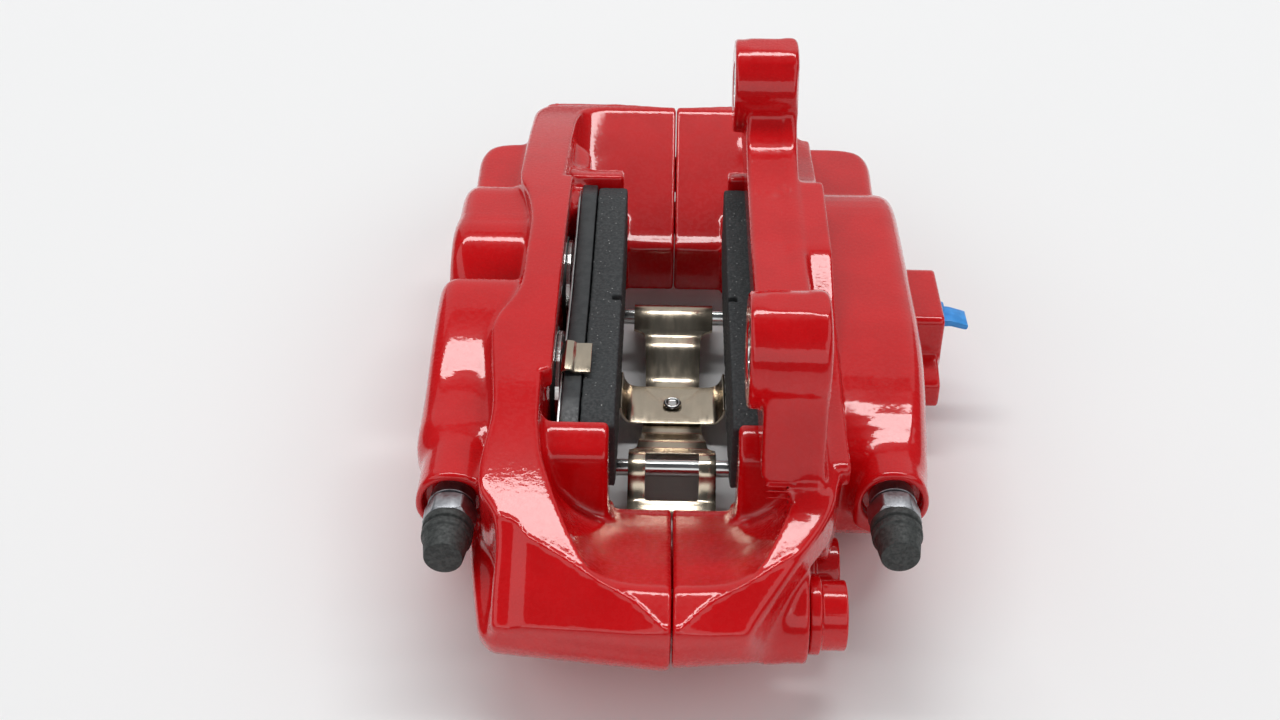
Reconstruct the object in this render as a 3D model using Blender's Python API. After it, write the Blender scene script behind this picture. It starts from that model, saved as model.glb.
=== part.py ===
"""Fixed four-piston brake caliper, lying on its crown.

+X points inboard (towards the mounting ears), +Y along the pads, +Z towards
the disc's axle.  Sizes below are millimetres from the halves' parting plane
(x), the pads' middle (y) and the surface that the crown rests on (z).  Every
object hangs on one empty, which moves the middle of the whole to the origin.
"""
import math

import bmesh
import bpy
from mathutils import Matrix, Vector

MM = 0.001
FIT_GAP = 0.3

# Whole caliper
HALF_LENGTH = 139.5
RIDGE = ((-1.0, 138.6), (2.5, 137.8), (6.2, 133.8), (15.0, 127.2), (21.5, 123.2), (27.5, 119.2),
         (33.0, 115.5), (41.0, 108.0), (60.0, 100.0))
END_SLOPE = 0.577
PARTING_GAP = 0.15
CROWN_RADIUS = 375.0
CROWN_FLAT = 30.0
RIM_HEIGHT = 64.5
RIM_FALL = 1.0 / 1014.0
SIDES = (-1, 1)

# Pads, their cavity and the disc's slot
PAD_HALF_LENGTH = 66.0
PAD_FACE_X = 16.5
FRICTION_THICKNESS = 10.0
PLATE_THICKNESS = 5.2
SHIM_THICKNESS = 0.7
PAD_TOP_MIDDLE = 50.0
PAD_TOP_CORNER = (55.5, 53.0)
PAD_TOP_END = 51.0
CAVITY_X = 36.4
CAVITY_Y = 66.6
SLOT_X = 17.0
WINDOW_Y = 69.0
BOWL_FLOOR = 23.0
BOWL_SLOPE = 0.443
ABUTMENT_X = 18.0
ABUTMENT_Y = 78.5
ABUTMENT_TOP = 53.7
ABUTMENT_FOOT = 28.0

# Outside of the inboard block, drawn in towards the near end
COVER_TAPER = [(75.6, -24.0), (74.0, -45.0), (70.6, -80.0), (90.0, -80.0), (90.0, -24.0)]

# Pistons: the far bore is the smaller one
PISTON_Z = 34.0
PISTON_Y = 27.0
NEAR_RADIUS = 17.5
FAR_RADIUS = 16.0
PISTON_WALL = 3.2
PISTON_START = 33.3
PISTON_LENGTH = 30.0
BORE_END = 67.0
SEAL_X = 49.0
SEAL_WIDTH = 3.6
SEAL_DEPTH = 2.4
BOOT_DEPTH = 4.2
BOOT_SEAT = 2.6

# Pad pins and their spring
PIN_Y = 40.0
PIN_Z = 13.7
PIN_RADIUS = 2.6
PIN_COLLAR_RADIUS = 3.0
PIN_OUTER_END = -47.0
PIN_INNER_END = 50.0

# Bridge bolts (y, z)
BOLT_AXES = ((114.7, 28.0), (92.0, 22.0))
BOLT_RADIUS = 6.0
BOLT_SEAT_X = 35.5
BOLT_FLANGE = (10.5, 3.2)
BOLT_HEAD = (8.6, 6.8)
BOLT_SOCKET = 5.2
BOLT_TIP_X = -30.0
BOLT_BOSS_RADIUS = 12.8

# Piston bosses of the outboard half (y, z)
FAR_BOSS = [(27.0, 8.0), (3.5, 20.0), (3.5, 48.0), (12.0, 55.5), (27.0, 58.5), (50.0, 57.8), (58.0, 54.0),
            (61.5, 45.0), (62.0, 36.0), (56.0, 10.0)]
NEAR_BOSS = [(-2.0, 10.0), (-2.0, 52.0), (-4.5, 58.0), (-8.0, 60.2), (-16.0, 60.2), (-33.0, 57.5),
             (-50.0, 52.7), (-68.0, 50.0), (-73.0, 45.0), (-71.0, 30.0), (-60.0, 12.0)]

# Bleeders
BLEED_X = 60.0
BLEED_Z = 41.0
BLEED_FACES = {-1: -89.0, 1: -85.0}
BLEED_POCKET = 4.0
BLEED_BOSS_RADIUS = 10.3

# Mounting ears
EAR_Y = 75.0
EAR_Z = 85.0
EAR_RADIUS = 15.5
EAR_FACE_X = 18.7
EAR_WEB_X = 22.8
EAR_BACK_X = 39.1
LEDGE_X = 46.6
EAR_HOLE_RADIUS = 7.6
INSERT_BORE_RADIUS = 5.3
SADDLE_Z = 71.0

# Crossover port in the parting face
PORT_Y = 103.3
PORT_Z = 30.4
PORT_RADIUS = 1.8
PORT_SEAL_RADIUS = 3.6

# Fluid inlet
INLET_Y = 19.0
INLET_Z = 31.0
INLET_FACE_X = 86.5
FIN_STEP = 1.0
PLUG_END_X = 96.5

CENTRE_X = 0.5 * (PLUG_END_X - 72.4)


# --------------------------------------------------------------- helpers

def wipe_scene():
    for item in list(bpy.data.objects):
        bpy.data.objects.remove(item, do_unlink=True)


def make_material(name, colour, roughness, metallic):
    material = bpy.data.materials.new(name)
    material.use_nodes = True
    shader = material.node_tree.nodes["Principled BSDF"]
    shader.inputs["Base Color"].default_value = (*colour, 1.0)
    shader.inputs["Roughness"].default_value = roughness
    shader.inputs["Metallic"].default_value = metallic
    material.diffuse_color = (*colour, 1.0)
    return material


def object_from(bm, name):
    """Turn a bmesh in millimetres into an object in metres."""
    bmesh.ops.recalc_face_normals(bm, faces=bm.faces)
    bmesh.ops.scale(bm, vec=(MM, MM, MM), verts=bm.verts)
    mesh = bpy.data.meshes.new(name)
    bm.to_mesh(mesh)
    bm.free()
    shape = bpy.data.objects.new(name, mesh)
    bpy.context.collection.objects.link(shape)
    return shape


def loft(name, loops):
    """Skin equal-count loops of (x, y, z) points and cap both ends."""
    bm = bmesh.new()
    rings = [[bm.verts.new(point) for point in loop] for loop in loops]
    for first, second in zip(rings, rings[1:]):
        count = len(first)
        for i in range(count):
            j = (i + 1) % count
            bm.faces.new((first[i], first[j], second[j], second[i]))
    bm.faces.new(rings[0])
    bm.faces.new(list(reversed(rings[-1])))
    return object_from(bm, name)


def prism_x(name, outline, low, high):
    """Extrude a (y, z) outline along X."""
    return loft(name, [[(x, y, z) for y, z in outline] for x in (low, high)])


def prism_z(name, outline, low, high):
    """Extrude an (x, y) outline along Z."""
    return loft(name, [[(x, y, z) for x, y in outline] for z in (low, high)])


def prism_y(name, outline, low, high):
    """Extrude an (x, z) outline along Y."""
    return loft(name, [[(x, y, z) for x, z in outline] for y in (low, high)])


def box(name, low, high):
    x0, y0, z0 = low
    x1, y1, z1 = high
    return prism_z(name, [(x0, y0), (x1, y0), (x1, y1), (x0, y1)], z0, z1)


def ring_points(radius, count):
    step = 2.0 * math.pi / count
    return [(radius * math.cos(i * step), radius * math.sin(i * step)) for i in range(count)]


def hexagon_points(reach, count):
    """Points on a hexagon whose corners are `reach` from its middle."""
    points = []
    for i in range(count):
        angle = 2.0 * math.pi * i / count
        within = angle % math.radians(60) - math.radians(30)
        radius = reach * math.cos(math.radians(30)) / math.cos(within)
        points.append((radius * math.cos(angle), radius * math.sin(angle)))
    return points


def section(step, count):
    """Ring for one profile step: (place, radius), or (place, reach, "hex")."""
    if len(step) == 3:
        return hexagon_points(step[1], count)
    return ring_points(step[1], count)


def turned_x(name, profile, y, z, count=32):
    """Turn (x, radius) steps about the X line through (y, z)."""
    loops = [[(step[0], y + a, z + b) for a, b in section(step, count)] for step in profile]
    return loft(name, loops)


def turned_y(name, profile, x, z, count=24):
    """Turn (y, radius) steps about the Y line through (x, z)."""
    loops = [[(x + a, step[0], z + b) for a, b in section(step, count)] for step in profile]
    return loft(name, loops)


def tube_x(name, profile, y, z, count=32):
    """Turn a closed (x, radius) profile into a ring about an X line."""
    bm = bmesh.new()
    rings = []
    for x, radius in profile:
        rings.append([bm.verts.new((x, y + a, z + b)) for a, b in ring_points(radius, count)])
    for k, first in enumerate(rings):
        second = rings[(k + 1) % len(rings)]
        for i in range(count):
            j = (i + 1) % count
            bm.faces.new((first[i], first[j], second[j], second[i]))
    return object_from(bm, name)


def combine(target, tool, operation):
    """Apply an exact boolean to the target and discard the tool."""
    modifier = target.modifiers.new("combine", "BOOLEAN")
    modifier.operation = operation
    modifier.solver = "EXACT"
    modifier.object = tool
    depsgraph = bpy.context.evaluated_depsgraph_get()
    result = bpy.data.meshes.new_from_object(target.evaluated_get(depsgraph))
    target.modifiers.clear()
    target.data = result
    bpy.data.objects.remove(tool, do_unlink=True)
    return target


def join(target, *tools):
    for tool in tools:
        combine(target, tool, "UNION")
    return target


def cut(target, *tools):
    for tool in tools:
        combine(target, tool, "DIFFERENCE")
    return target


def move_origin(shape, point):
    """Put the object's origin at a point without moving its surface."""
    place = Vector(point) * MM
    shape.data.transform(Matrix.Translation(-place))
    shape.location = place


def finish(shape, material, sharp_degrees=35.0, origin=None):
    shape.data.materials.clear()
    shape.data.materials.append(material)
    shape.data.shade_smooth()
    shape.data.set_sharp_from_angle(angle=math.radians(sharp_degrees))
    if origin is not None:
        move_origin(shape, origin)
    return shape


# --------------------------------------------------------------- castings

def crown_z(y):
    reach = abs(y)
    if reach <= CROWN_FLAT:
        return 0.0
    drop = math.sqrt(CROWN_RADIUS ** 2 - CROWN_FLAT ** 2)
    return drop - math.sqrt(CROWN_RADIUS ** 2 - reach ** 2)


def rim_z(y):
    return RIM_HEIGHT - RIM_FALL * y * y


def side_outline():
    """(y, z) outline of the bridge: crown below, rim arc above, bevelled ends."""
    end = HALF_LENGTH
    lower = [(y, crown_z(y)) for y in (CROWN_FLAT, 50, 70, 90, 108, 122)]
    lower += [(end - 9, 26.0), (end - 3, 31.5), (end, 37.0)]
    upper = [(y, rim_z(y)) for y in (end, 122, 105, 85, 62, 32)]
    right = lower + upper
    left = [(-y, z) for y, z in reversed(right)]
    return right + [(0.0, rim_z(0.0))] + left


def outboard_plan():
    """(distance from the parting plane, y) outline of the outboard half."""
    near = [(50.0, -70.0), (50.5, -97.0), (46.8, -107.0), (46.8, -126.0), (43.5, -132.0)]
    far = [(43.5, 132.0), (48.8, 130.0), (52.8, 122.0), (52.8, 52.0)]
    waist = [(49.0, 42.0), (46.4, 26.0), (46.4, -16.0), (54.0, -33.0)]
    tip = HALF_LENGTH
    return [(PARTING_GAP, tip)] + far + waist + near + [(PARTING_GAP, -tip)]


def inboard_plan():
    tip = HALF_LENGTH
    taper = [(19.0, 136.2), (25.0, 128.0), (32.0, 118.0), (41.0, 104.0), (46.0, 84.0)]
    far = [(PARTING_GAP, tip)] + taper
    near = [(x, -y) for x, y in reversed(far)]
    return far + near


def end_bevel(side, end):
    """Space above the slanted face that closes each end of a half, out from its ridge."""
    loops = []
    for x, y in RIDGE:
        ridge_z = rim_z(y)
        foot_z = ridge_z - (HALF_LENGTH + 2.0 - y) * END_SLOPE
        corners = ((y, ridge_z), (HALF_LENGTH + 2.0, foot_z), (HALF_LENGTH + 2.0, 90.0), (y, 90.0))
        loops.append([(side * x, end * v, w) for v, w in corners])
    return loft("end_bevel", loops)


def bowl_reach(z):
    return WINDOW_Y + (z - BOWL_FLOOR) / BOWL_SLOPE


def bowl(side, end):
    """Hollow between a half's rim and the disc, from the window to the end."""
    shape = ((1.0, 0.06), (0.96, 0.28), (0.85, 0.50), (0.74, 0.683), (0.625, 0.83),
             (0.52, 0.917), (0.41, 0.969), (0.26, 0.99), (-0.02, 1.0))
    loops = []
    for z, width in ((BOWL_FLOOR - 0.4, 25.0), (31.0, 31.0), (40.0, 34.6), (48.6, 36.2), (70.0, 38.5)):
        reach = bowl_reach(min(z, 49.5)) - WINDOW_Y
        if z > 60.0:
            reach += 3.0
        loop = [(side * -0.02 * width, end * 60.0, z), (side * width, end * 60.0, z)]
        loop += [(side * u * width, end * (WINDOW_Y + v * reach), z) for u, v in shape]
        loops.append(loop)
    return loft("bowl", loops)


def abutment(side, end):
    """Block that takes the pad's end when braking."""
    outline = [(CAVITY_Y, ABUTMENT_FOOT - 6), (CAVITY_Y, ABUTMENT_TOP), (CAVITY_Y + 4, ABUTMENT_TOP - 0.4),
               (ABUTMENT_Y - 1.5, ABUTMENT_TOP - 3.2), (ABUTMENT_Y, ABUTMENT_TOP - 5.5),
               (ABUTMENT_Y + 1.0, ABUTMENT_FOOT)]
    outline = [(end * y, z) for y, z in outline]
    low, high = sorted((side * ABUTMENT_X, side * (CAVITY_X + 2.0)))
    return prism_x("abutment", outline, low, high)


def bore(side, end):
    """Stepped hole for one piston, its boot seat and its seal groove."""
    radius = FAR_RADIUS if end > 0 else NEAR_RADIUS
    profile = [(CAVITY_X - 2, radius + BOOT_SEAT), (CAVITY_X + BOOT_DEPTH, radius + BOOT_SEAT),
               (CAVITY_X + BOOT_DEPTH, radius + FIT_GAP), (SEAL_X, radius + FIT_GAP),
               (SEAL_X, radius + SEAL_DEPTH + FIT_GAP), (SEAL_X + SEAL_WIDTH, radius + SEAL_DEPTH + FIT_GAP),
               (SEAL_X + SEAL_WIDTH, radius + FIT_GAP), (BORE_END, radius + FIT_GAP)]
    profile = [(side * x, r) for x, r in profile]
    return turned_x("bore", profile, end * PISTON_Y, PISTON_Z, 28)


def bleed_boss(side):
    """Rounded boss beside the near piston's boss."""
    r = BLEED_BOSS_RADIUS
    outline = [(-r, -9.0), (-r, 2.0), (-0.8 * r, 7.0), (-0.35 * r, r), (0.35 * r, r), (0.8 * r, 7.0),
               (r, 1.0), (r, -4.0), (0.6 * r, -10.0), (0.0, -14.0)]
    outline = [(side * BLEED_X + u, BLEED_Z + w) for u, w in outline]
    return prism_y("bleed_boss", outline, BLEED_FACES[side], -50.0)


def far_block(side, reach, foot):
    """Low shoulder beyond the far piston's boss."""
    outline = [(42.7, 56.3), (reach, 56.3), (reach + 1.0, 88.0), (reach - 5.0, 96.0), (42.7, 97.0)]
    outline = [(side * x, y) for x, y in outline]
    return prism_z("far_block", outline, foot, 50.2)


def bleed_bore(side):
    """Counterbored drilling for a bleeder, open towards the near end."""
    face = BLEED_FACES[side]
    floor = face + BLEED_POCKET
    profile = [(face - 2, 8.2), (floor, 8.2), (floor, 4.3), (face + 24, 4.3), (face + 27, 1.0)]
    return turned_y("bleed_bore", profile, side * BLEED_X, BLEED_Z, 24)


def bolt_bore(side, end, axis):
    y, z = axis
    if side > 0:
        profile = [(-1.0, BOLT_RADIUS + FIT_GAP), (60.0, BOLT_RADIUS + FIT_GAP)]
    else:
        profile = [(1.0, BOLT_RADIUS + FIT_GAP), (BOLT_TIP_X - 3.0, BOLT_RADIUS + FIT_GAP)]
    return turned_x("bolt_bore", profile, end * y, z, 20)


def pin_bore(side, end):
    radius = PIN_COLLAR_RADIUS + FIT_GAP if side > 0 else PIN_RADIUS + FIT_GAP
    reach = 90.0 if side > 0 else -PIN_OUTER_END + 2.0
    return turned_x("pin_bore", [(side * 30.0, radius), (side * reach, radius)], end * PIN_Y, PIN_Z, 16)


def port(side):
    """Crossover drilling in the parting face, with its seal's seat."""
    seat = PORT_SEAL_RADIUS + FIT_GAP
    profile = [(-side * 1.0, seat), (side * 1.1, seat), (side * 1.1, PORT_RADIUS), (side * 18.0, PORT_RADIUS)]
    return turned_x("port", profile, PORT_Y, PORT_Z, 16)


def cavity(side):
    pads = box("pad_space", (0, -CAVITY_Y, -5), (CAVITY_X, CAVITY_Y, 90))
    slot = box("slot", (-1, -WINDOW_Y, -5), (SLOT_X, WINDOW_Y, 90))
    join(pads, slot)
    if side < 0:
        pads.data.transform(Matrix.Scale(-1.0, 4, (1, 0, 0)))
        pads.data.flip_normals()
    return pads


def half_shell(name, side, plan):
    """Bridge and rim of one half, before its bosses are added."""
    low, high = sorted((0.0, side * 60.0))
    shell = prism_x(name, side_outline(), low, high)
    combine(shell, prism_z("plan", [(side * x, y) for x, y in plan], -5, 100), "INTERSECT")
    for end in SIDES:
        cut(shell, end_bevel(side, end))
    for end in SIDES:
        cut(shell, bowl(side, end))
    return shell


def drill_common(shell, side):
    for end in SIDES:
        cut(shell, bore(side, end), pin_bore(side, end))
        for axis in BOLT_AXES:
            cut(shell, bolt_bore(side, end, axis))
    cut(shell, bleed_bore(side), port(side))


def outboard_half(paint):
    half = half_shell("outboard_half", -1, outboard_plan())
    cut(half, cavity(-1))
    far = prism_x("far_boss", FAR_BOSS, -72.4, -40.0)
    near = prism_x("near_boss", NEAR_BOSS, -72.4, -40.0)
    belly = prism_x("belly", [(-60, 12), (-52, 6), (-20, 2), (20, 2), (50, 6), (58, 12), (58, 46), (-60, 46)],
                    -70.0, -40.0)
    join(half, far, near, belly)
    join(half, bleed_boss(-1), far_block(-1, 69.0, 14.0))
    for end in SIDES:
        join(half, abutment(-1, end))
    drill_common(half, -1)
    return finish(half, paint)


def ear_outline(end):
    """(y, z) outline of the mounting flange from its middle out to one ear."""
    arc = []
    for degrees in range(125, -16, -20):
        a = math.radians(degrees)
        arc.append((EAR_Y + EAR_RADIUS * math.cos(a), EAR_Z + EAR_RADIUS * math.sin(a)))
    inner = [(0.0, SADDLE_Z), (34.0, SADDLE_Z + 0.8), (52.0, SADDLE_Z + 4.0), (60.0, SADDLE_Z + 11.0)]
    outer = [(EAR_Y + EAR_RADIUS + 1.0, 74.0), (EAR_Y + 21.0, 58.0), (EAR_Y + 25.0, 50.0)]
    return [(end * y, z) for y, z in inner + arc + outer]


def mounting_flange():
    far = ear_outline(1)
    near = ear_outline(-1)
    lower = [(-100.0, 44.0), (-60.0, 57.0), (60.0, 57.0), (100.0, 44.0)]
    outline = far[1:] + list(reversed(lower)) + list(reversed(near[1:])) + [(0.0, SADDLE_Z)]
    flange = prism_x("flange", outline, EAR_WEB_X + 12.0, EAR_BACK_X)
    for end in SIDES:
        face = turned_x("ear_face", [(EAR_FACE_X, EAR_RADIUS - 1.2), (EAR_FACE_X + 1.0, EAR_RADIUS),
                                     (EAR_BACK_X - 0.1, EAR_RADIUS)], end * EAR_Y, EAR_Z, 32)
        join(flange, face)
    web = [(y, z) for y, z in outline if z > 57.5]
    join(flange, prism_x("web", web, EAR_WEB_X, EAR_BACK_X), bolt_head_relief())
    return flange


def bolt_head_relief():
    """Wide middle of the flange, which falls away towards each ear's bolt."""
    outline = [(-48.0, 58.0), (-44.0, 60.5), (-22.0, 65.5), (-2.0, SADDLE_Z), (37.0, SADDLE_Z), (55.0, 65.5),
               (70.0, 58.0)]
    return prism_x("relief", outline, EAR_BACK_X - 4.0, LEDGE_X)


def inboard_half(paint):
    half = half_shell("inboard_half", 1, inboard_plan())
    for end in SIDES:
        outline = [(81.0, -2.0), (150.0, -2.0), (150.0, 42.0), (104.0, 42.0), (100.0, 33.0), (81.0, 33.0)]
        cut(half, prism_x("bolt_seat", [(end * y, z) for y, z in outline], BOLT_SEAT_X, 60.0))
    cut(half, cavity(1))
    for end in SIDES:
        y, z = BOLT_AXES[0]
        join(half, turned_x("bolt_boss", [(12.0, BOLT_BOSS_RADIUS), (BOLT_SEAT_X, BOLT_BOSS_RADIUS - 0.5)],
                            end * y, z, 28))
    join(half, mounting_flange())
    join(half, cylinder_body(), cylinder_cover())
    join(half, bleed_boss(1), far_block(1, 67.3, 33.5))
    for end in SIDES:
        join(half, abutment(1, end))
    join(half, inlet_block())
    drill_common(half, 1)
    for end in SIDES:
        hole = turned_x("ear_hole", [(0.0, EAR_HOLE_RADIUS), (60.0, EAR_HOLE_RADIUS)], end * EAR_Y, EAR_Z, 28)
        cut(half, hole)
    cut(half, turned_x("inlet", [(60.0, 2.0), (72.0, 2.0), (74.0, 5.3), (100.0, 5.3)], INLET_Y, INLET_Z, 20))
    return finish(half, paint)


def cylinder_body():
    """Block outside the bridge that holds the inboard pistons."""
    outline = [(-77, 30), (-70, 14), (-40, 3), (40, 3), (58, 12), (64, 30), (62, 50), (52, 57.5), (-30, 58.5),
               (-62, 54), (-76, 44)]
    return prism_x("body", outline, 40.0, 68.0)


def cylinder_cover():
    """Outer end of the inboard block, drawn in towards its outside face."""
    outline = [(-74, 30), (-68, 15), (-40, 5), (40, 5), (56, 13), (62, 30), (60, 48), (50, 56), (-30, 57),
               (-60, 52), (-73, 43)]
    middle_z = 33.0
    loops = []
    for x, scale in ((60.0, 1.0), (72.0, 0.99), (75.5, 0.94)):
        loops.append([(x, y * scale, middle_z + (z - middle_z) * scale) for y, z in outline])
    return cut(loft("cover", loops), prism_z("taper", COVER_TAPER, -10.0, 80.0))


def inlet_block():
    outline = [(4.5, 24.0), (8.0, 20.0), (32.0, 20.0), (35.5, 24.0), (35.5, 37.0), (33.0, 39.5), (7.0, 39.5),
               (4.5, 37.0)]
    block = prism_x("inlet_block", outline, 60.0, INLET_FACE_X)
    fin_outline = [(-7.0, 13.0), (6.0, 13.0), (12.0, 24.0), (4.0, 26.0), (-7.0, 22.0)]
    fin = prism_x("fin", fin_outline, 60.0, INLET_FACE_X - FIN_STEP)
    return join(block, fin)


# --------------------------------------------------------------- hydraulics

def piston(side, end, steel):
    """Open-mouthed cup with a boot groove; it slides along X."""
    radius = FAR_RADIUS if end > 0 else NEAR_RADIUS
    inner = radius - PISTON_WALL
    x0 = PISTON_START
    x1 = x0 + PISTON_LENGTH
    inside = [(x1 - 5.0, inner - 1.5), (x1 - 6.5, inner), (x0, inner)]
    nose = [(x0, radius - 0.6), (x0 + 0.6, radius), (x0 + 1.8, radius), (x0 + 1.8, radius - 1.2),
            (x0 + 4.2, radius - 1.2), (x0 + 4.2, radius)]
    profile = inside + nose + [(x1 - 1.0, radius), (x1, radius - 1.0)]
    name = "piston_%s_%s" % (side_word(side), end_word(end))
    cup = turned_x(name, [(side * x, r) for x, r in profile], end * PISTON_Y, PISTON_Z, 28)
    return finish(cup, steel, origin=(side * x0, end * PISTON_Y, PISTON_Z))


def piston_seal(side, end, rubber):
    radius = FAR_RADIUS if end > 0 else NEAR_RADIUS
    low = SEAL_X + FIT_GAP
    high = SEAL_X + SEAL_WIDTH - FIT_GAP
    profile = [(low, radius + FIT_GAP), (high, radius + FIT_GAP), (high, radius + SEAL_DEPTH),
               (low, radius + SEAL_DEPTH)]
    name = "piston_seal_%s_%s" % (side_word(side), end_word(end))
    ring = tube_x(name, [(side * x, r) for x, r in profile], end * PISTON_Y, PISTON_Z, 28)
    return finish(ring, rubber)


def dust_boot(side, end, rubber):
    """Folded rubber ring between the bore's mouth and the piston's nose."""
    radius = FAR_RADIUS if end > 0 else NEAR_RADIUS
    start = CAVITY_X
    back = start + BOOT_DEPTH - FIT_GAP
    outer = radius + BOOT_SEAT - FIT_GAP
    profile = [(start + FIT_GAP, outer), (back, outer), (back, radius + 1.2), (start + 1.6, radius + FIT_GAP),
               (start - 0.9, radius + FIT_GAP), (start - 1.3, radius + 1.0), (start - 0.2, radius + 1.6)]
    name = "dust_boot_%s_%s" % (side_word(side), end_word(end))
    ring = tube_x(name, [(side * x, r) for x, r in profile], end * PISTON_Y, PISTON_Z, 28)
    return finish(ring, rubber)


def crossover_seal(rubber):
    inner = PORT_RADIUS + 0.4
    profile = [(-0.8, inner), (0.8, inner), (0.8, PORT_SEAL_RADIUS), (-0.8, PORT_SEAL_RADIUS)]
    return finish(tube_x("crossover_seal", profile, PORT_Y, PORT_Z, 24), rubber)


def bleeder_screw(side, steel):
    """Hexagon-headed screw; it turns about its own Y line."""
    y = BLEED_FACES[side] + BLEED_POCKET - FIT_GAP
    stem = [(y + 19.0, 0.9), (y + 16.5, 2.6), (y + 15.0, 3.9), (y, 3.9), (y, 6.0), (y - 1.0, 6.6),
            (y - 4.9, 6.6), (y - 4.9, 5.4), (y - 5.7, 5.4)]
    hexagon = [(y - 5.7, 6.7, "hex"), (y - 11.9, 6.7, "hex")]
    nipple = [(y - 11.9, 3.6), (y - 18.5, 3.0), (y - 19.0, 3.9), (y - 20.5, 3.9), (y - 21.0, 2.8)]
    name = "bleeder_screw_" + side_word(side)
    screw = turned_y(name, stem + hexagon + nipple, side * BLEED_X, BLEED_Z, 18)
    return finish(screw, steel, origin=(side * BLEED_X, y, BLEED_Z))


def bleeder_cap(side, rubber):
    """Soft cap over the bleeder's nipple; it pulls off along -Y."""
    start = BLEED_FACES[side] + BLEED_POCKET - 11.9 - 2.0 * FIT_GAP
    inside = [(start - 10.6, 4.3), (start, 4.3)]
    outside = [(start, 6.7), (start - 2.2, 6.7), (start - 2.6, 6.1), (start - 3.6, 6.1), (start - 4.0, 6.6),
               (start - 5.8, 6.4), (start - 6.2, 6.0), (start - 12.0, 4.7), (start - 12.5, 4.2)]
    cap = turned_y("bleeder_cap_" + side_word(side), inside + outside, side * BLEED_X, BLEED_Z, 24)
    return finish(cap, rubber, origin=(side * BLEED_X, start, BLEED_Z))


def transit_plug(plastic):
    """Press-in plug with a pull tab that keeps the fluid inlet clean."""
    face = INLET_FACE_X + FIT_GAP
    profile = [(76.0, 3.6), (77.0, 4.4), (face, 4.9), (face + 1.3, 4.9)]
    stem = turned_x("transit_plug", profile, INLET_Y, INLET_Z, 24)
    outline = [(face + 0.5, 29.8), (face + 3.7, 30.0), (PLUG_END_X - 0.6, 28.6), (PLUG_END_X, 30.4),
               (face + 3.7, 32.2), (face + 0.5, 32.4)]
    tab = prism_y("tab", outline, INLET_Y - 4.2, INLET_Y + 4.2)
    join(stem, tab)
    return finish(stem, plastic, origin=(76.0, INLET_Y, INLET_Z))


# --------------------------------------------------------------- pads and pins

def pad_outline(inset, foot):
    """(y, z) outline shared by plate, block and shim: faceted towards the axle."""
    corner_y, corner_z = PAD_TOP_CORNER
    end = PAD_HALF_LENGTH - inset
    top = [(end, PAD_TOP_END - inset), (corner_y, corner_z - inset), (0.0, PAD_TOP_MIDDLE - inset),
           (-corner_y, corner_z - inset), (-end, PAD_TOP_END - inset)]
    return foot(end) + top


def plate_foot(end):
    """Lower edge with the two lugs that hang on the pad pins."""
    lug = PIN_Y + 7.0
    right = [(8.0, 11.0), (12.0, 9.0), (PIN_Y - 8.0, 8.0), (PIN_Y - 5.0, 6.6), (lug - 2.0, 6.6), (lug, 9.0),
             (lug + 4.0, 15.0), (end, 21.0)]
    return [(-y, z) for y, z in reversed(right)] + right


def block_foot(end):
    right = [(20.0, 21.0), (44.0, 21.5), (end - 6.0, 25.0), (end, 28.0)]
    return [(-y, z) for y, z in reversed(right)] + right


def pad_pieces(side, steel, lining, coating, clip_metal):
    word = side_word(side)
    face = PAD_FACE_X
    back = face + FRICTION_THICKNESS
    plate_back = back + FIT_GAP + PLATE_THICKNESS
    shim_front = plate_back + FIT_GAP

    def span(a, b):
        return sorted((side * a, side * b))

    block = prism_x("friction_block_" + word, pad_outline(0.6, block_foot), *span(face, back))
    groove = prism_x("wear_groove", [(-1.0, 15.0), (1.0, 15.0), (1.0, 70.0), (-1.0, 70.0)],
                     *span(face - 1.0, face + 3.0))
    cut(block, groove)
    plate = prism_x("backing_plate_" + word, pad_outline(0.0, plate_foot), *span(back + FIT_GAP, plate_back))
    shim_span = span(shim_front, shim_front + SHIM_THICKNESS)
    shim = prism_x("damping_shim_" + word, pad_outline(1.2, plate_foot), *shim_span)
    for end in SIDES:
        for sheet in (plate, shim):
            hole = turned_x("pin_hole", [(side * 20.0, PIN_RADIUS + 0.6), (side * 45.0, PIN_RADIUS + 0.6)],
                            end * PIN_Y, PIN_Z, 16)
            cut(sheet, hole)
    clip = wear_clip(side)
    material_list = ((block, lining), (plate, coating), (shim, steel), (clip, clip_metal))
    return [finish(shape, material, origin=(side * face, 0, PIN_Z)) for shape, material in material_list]


def wear_clip(side):
    """Bent clip: a flat tab on the lining and a curl over the plate's back edge."""
    under = [(24.3, 52.8), (29.2, 52.8), (30.2, 53.7), (31.6, 53.9), (32.3, 53.1), (32.3, 52.7)]
    over = [(33.0, 52.7), (33.0, 53.6), (31.9, 54.7), (29.8, 54.4), (28.9, 53.6), (24.3, 53.6)]
    outline = [(side * x, z) for x, z in under + over]
    return prism_y("wear_clip_" + side_word(side), outline, -44.5, -30.5)


def pad_pin(end, steel):
    tip = PIN_OUTER_END
    head = PIN_INNER_END
    shank = [(tip, PIN_RADIUS - 0.6), (tip + 0.8, PIN_RADIUS), (head - 14.0, PIN_RADIUS)]
    collar = [(head - 13.0, PIN_COLLAR_RADIUS), (head - 8.0, PIN_COLLAR_RADIUS)]
    groove = [(head - 8.0, PIN_RADIUS), (head - 6.5, PIN_RADIUS)]
    cap = [(head - 6.5, PIN_COLLAR_RADIUS), (head - 0.6, PIN_COLLAR_RADIUS), (head, PIN_COLLAR_RADIUS - 0.6)]
    profile = shank + collar + groove + cap
    pin = turned_x("pad_pin_" + end_word(end), profile, end * PIN_Y, PIN_Z, 16)
    return finish(pin, steel, origin=(0, end * PIN_Y, PIN_Z))


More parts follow.
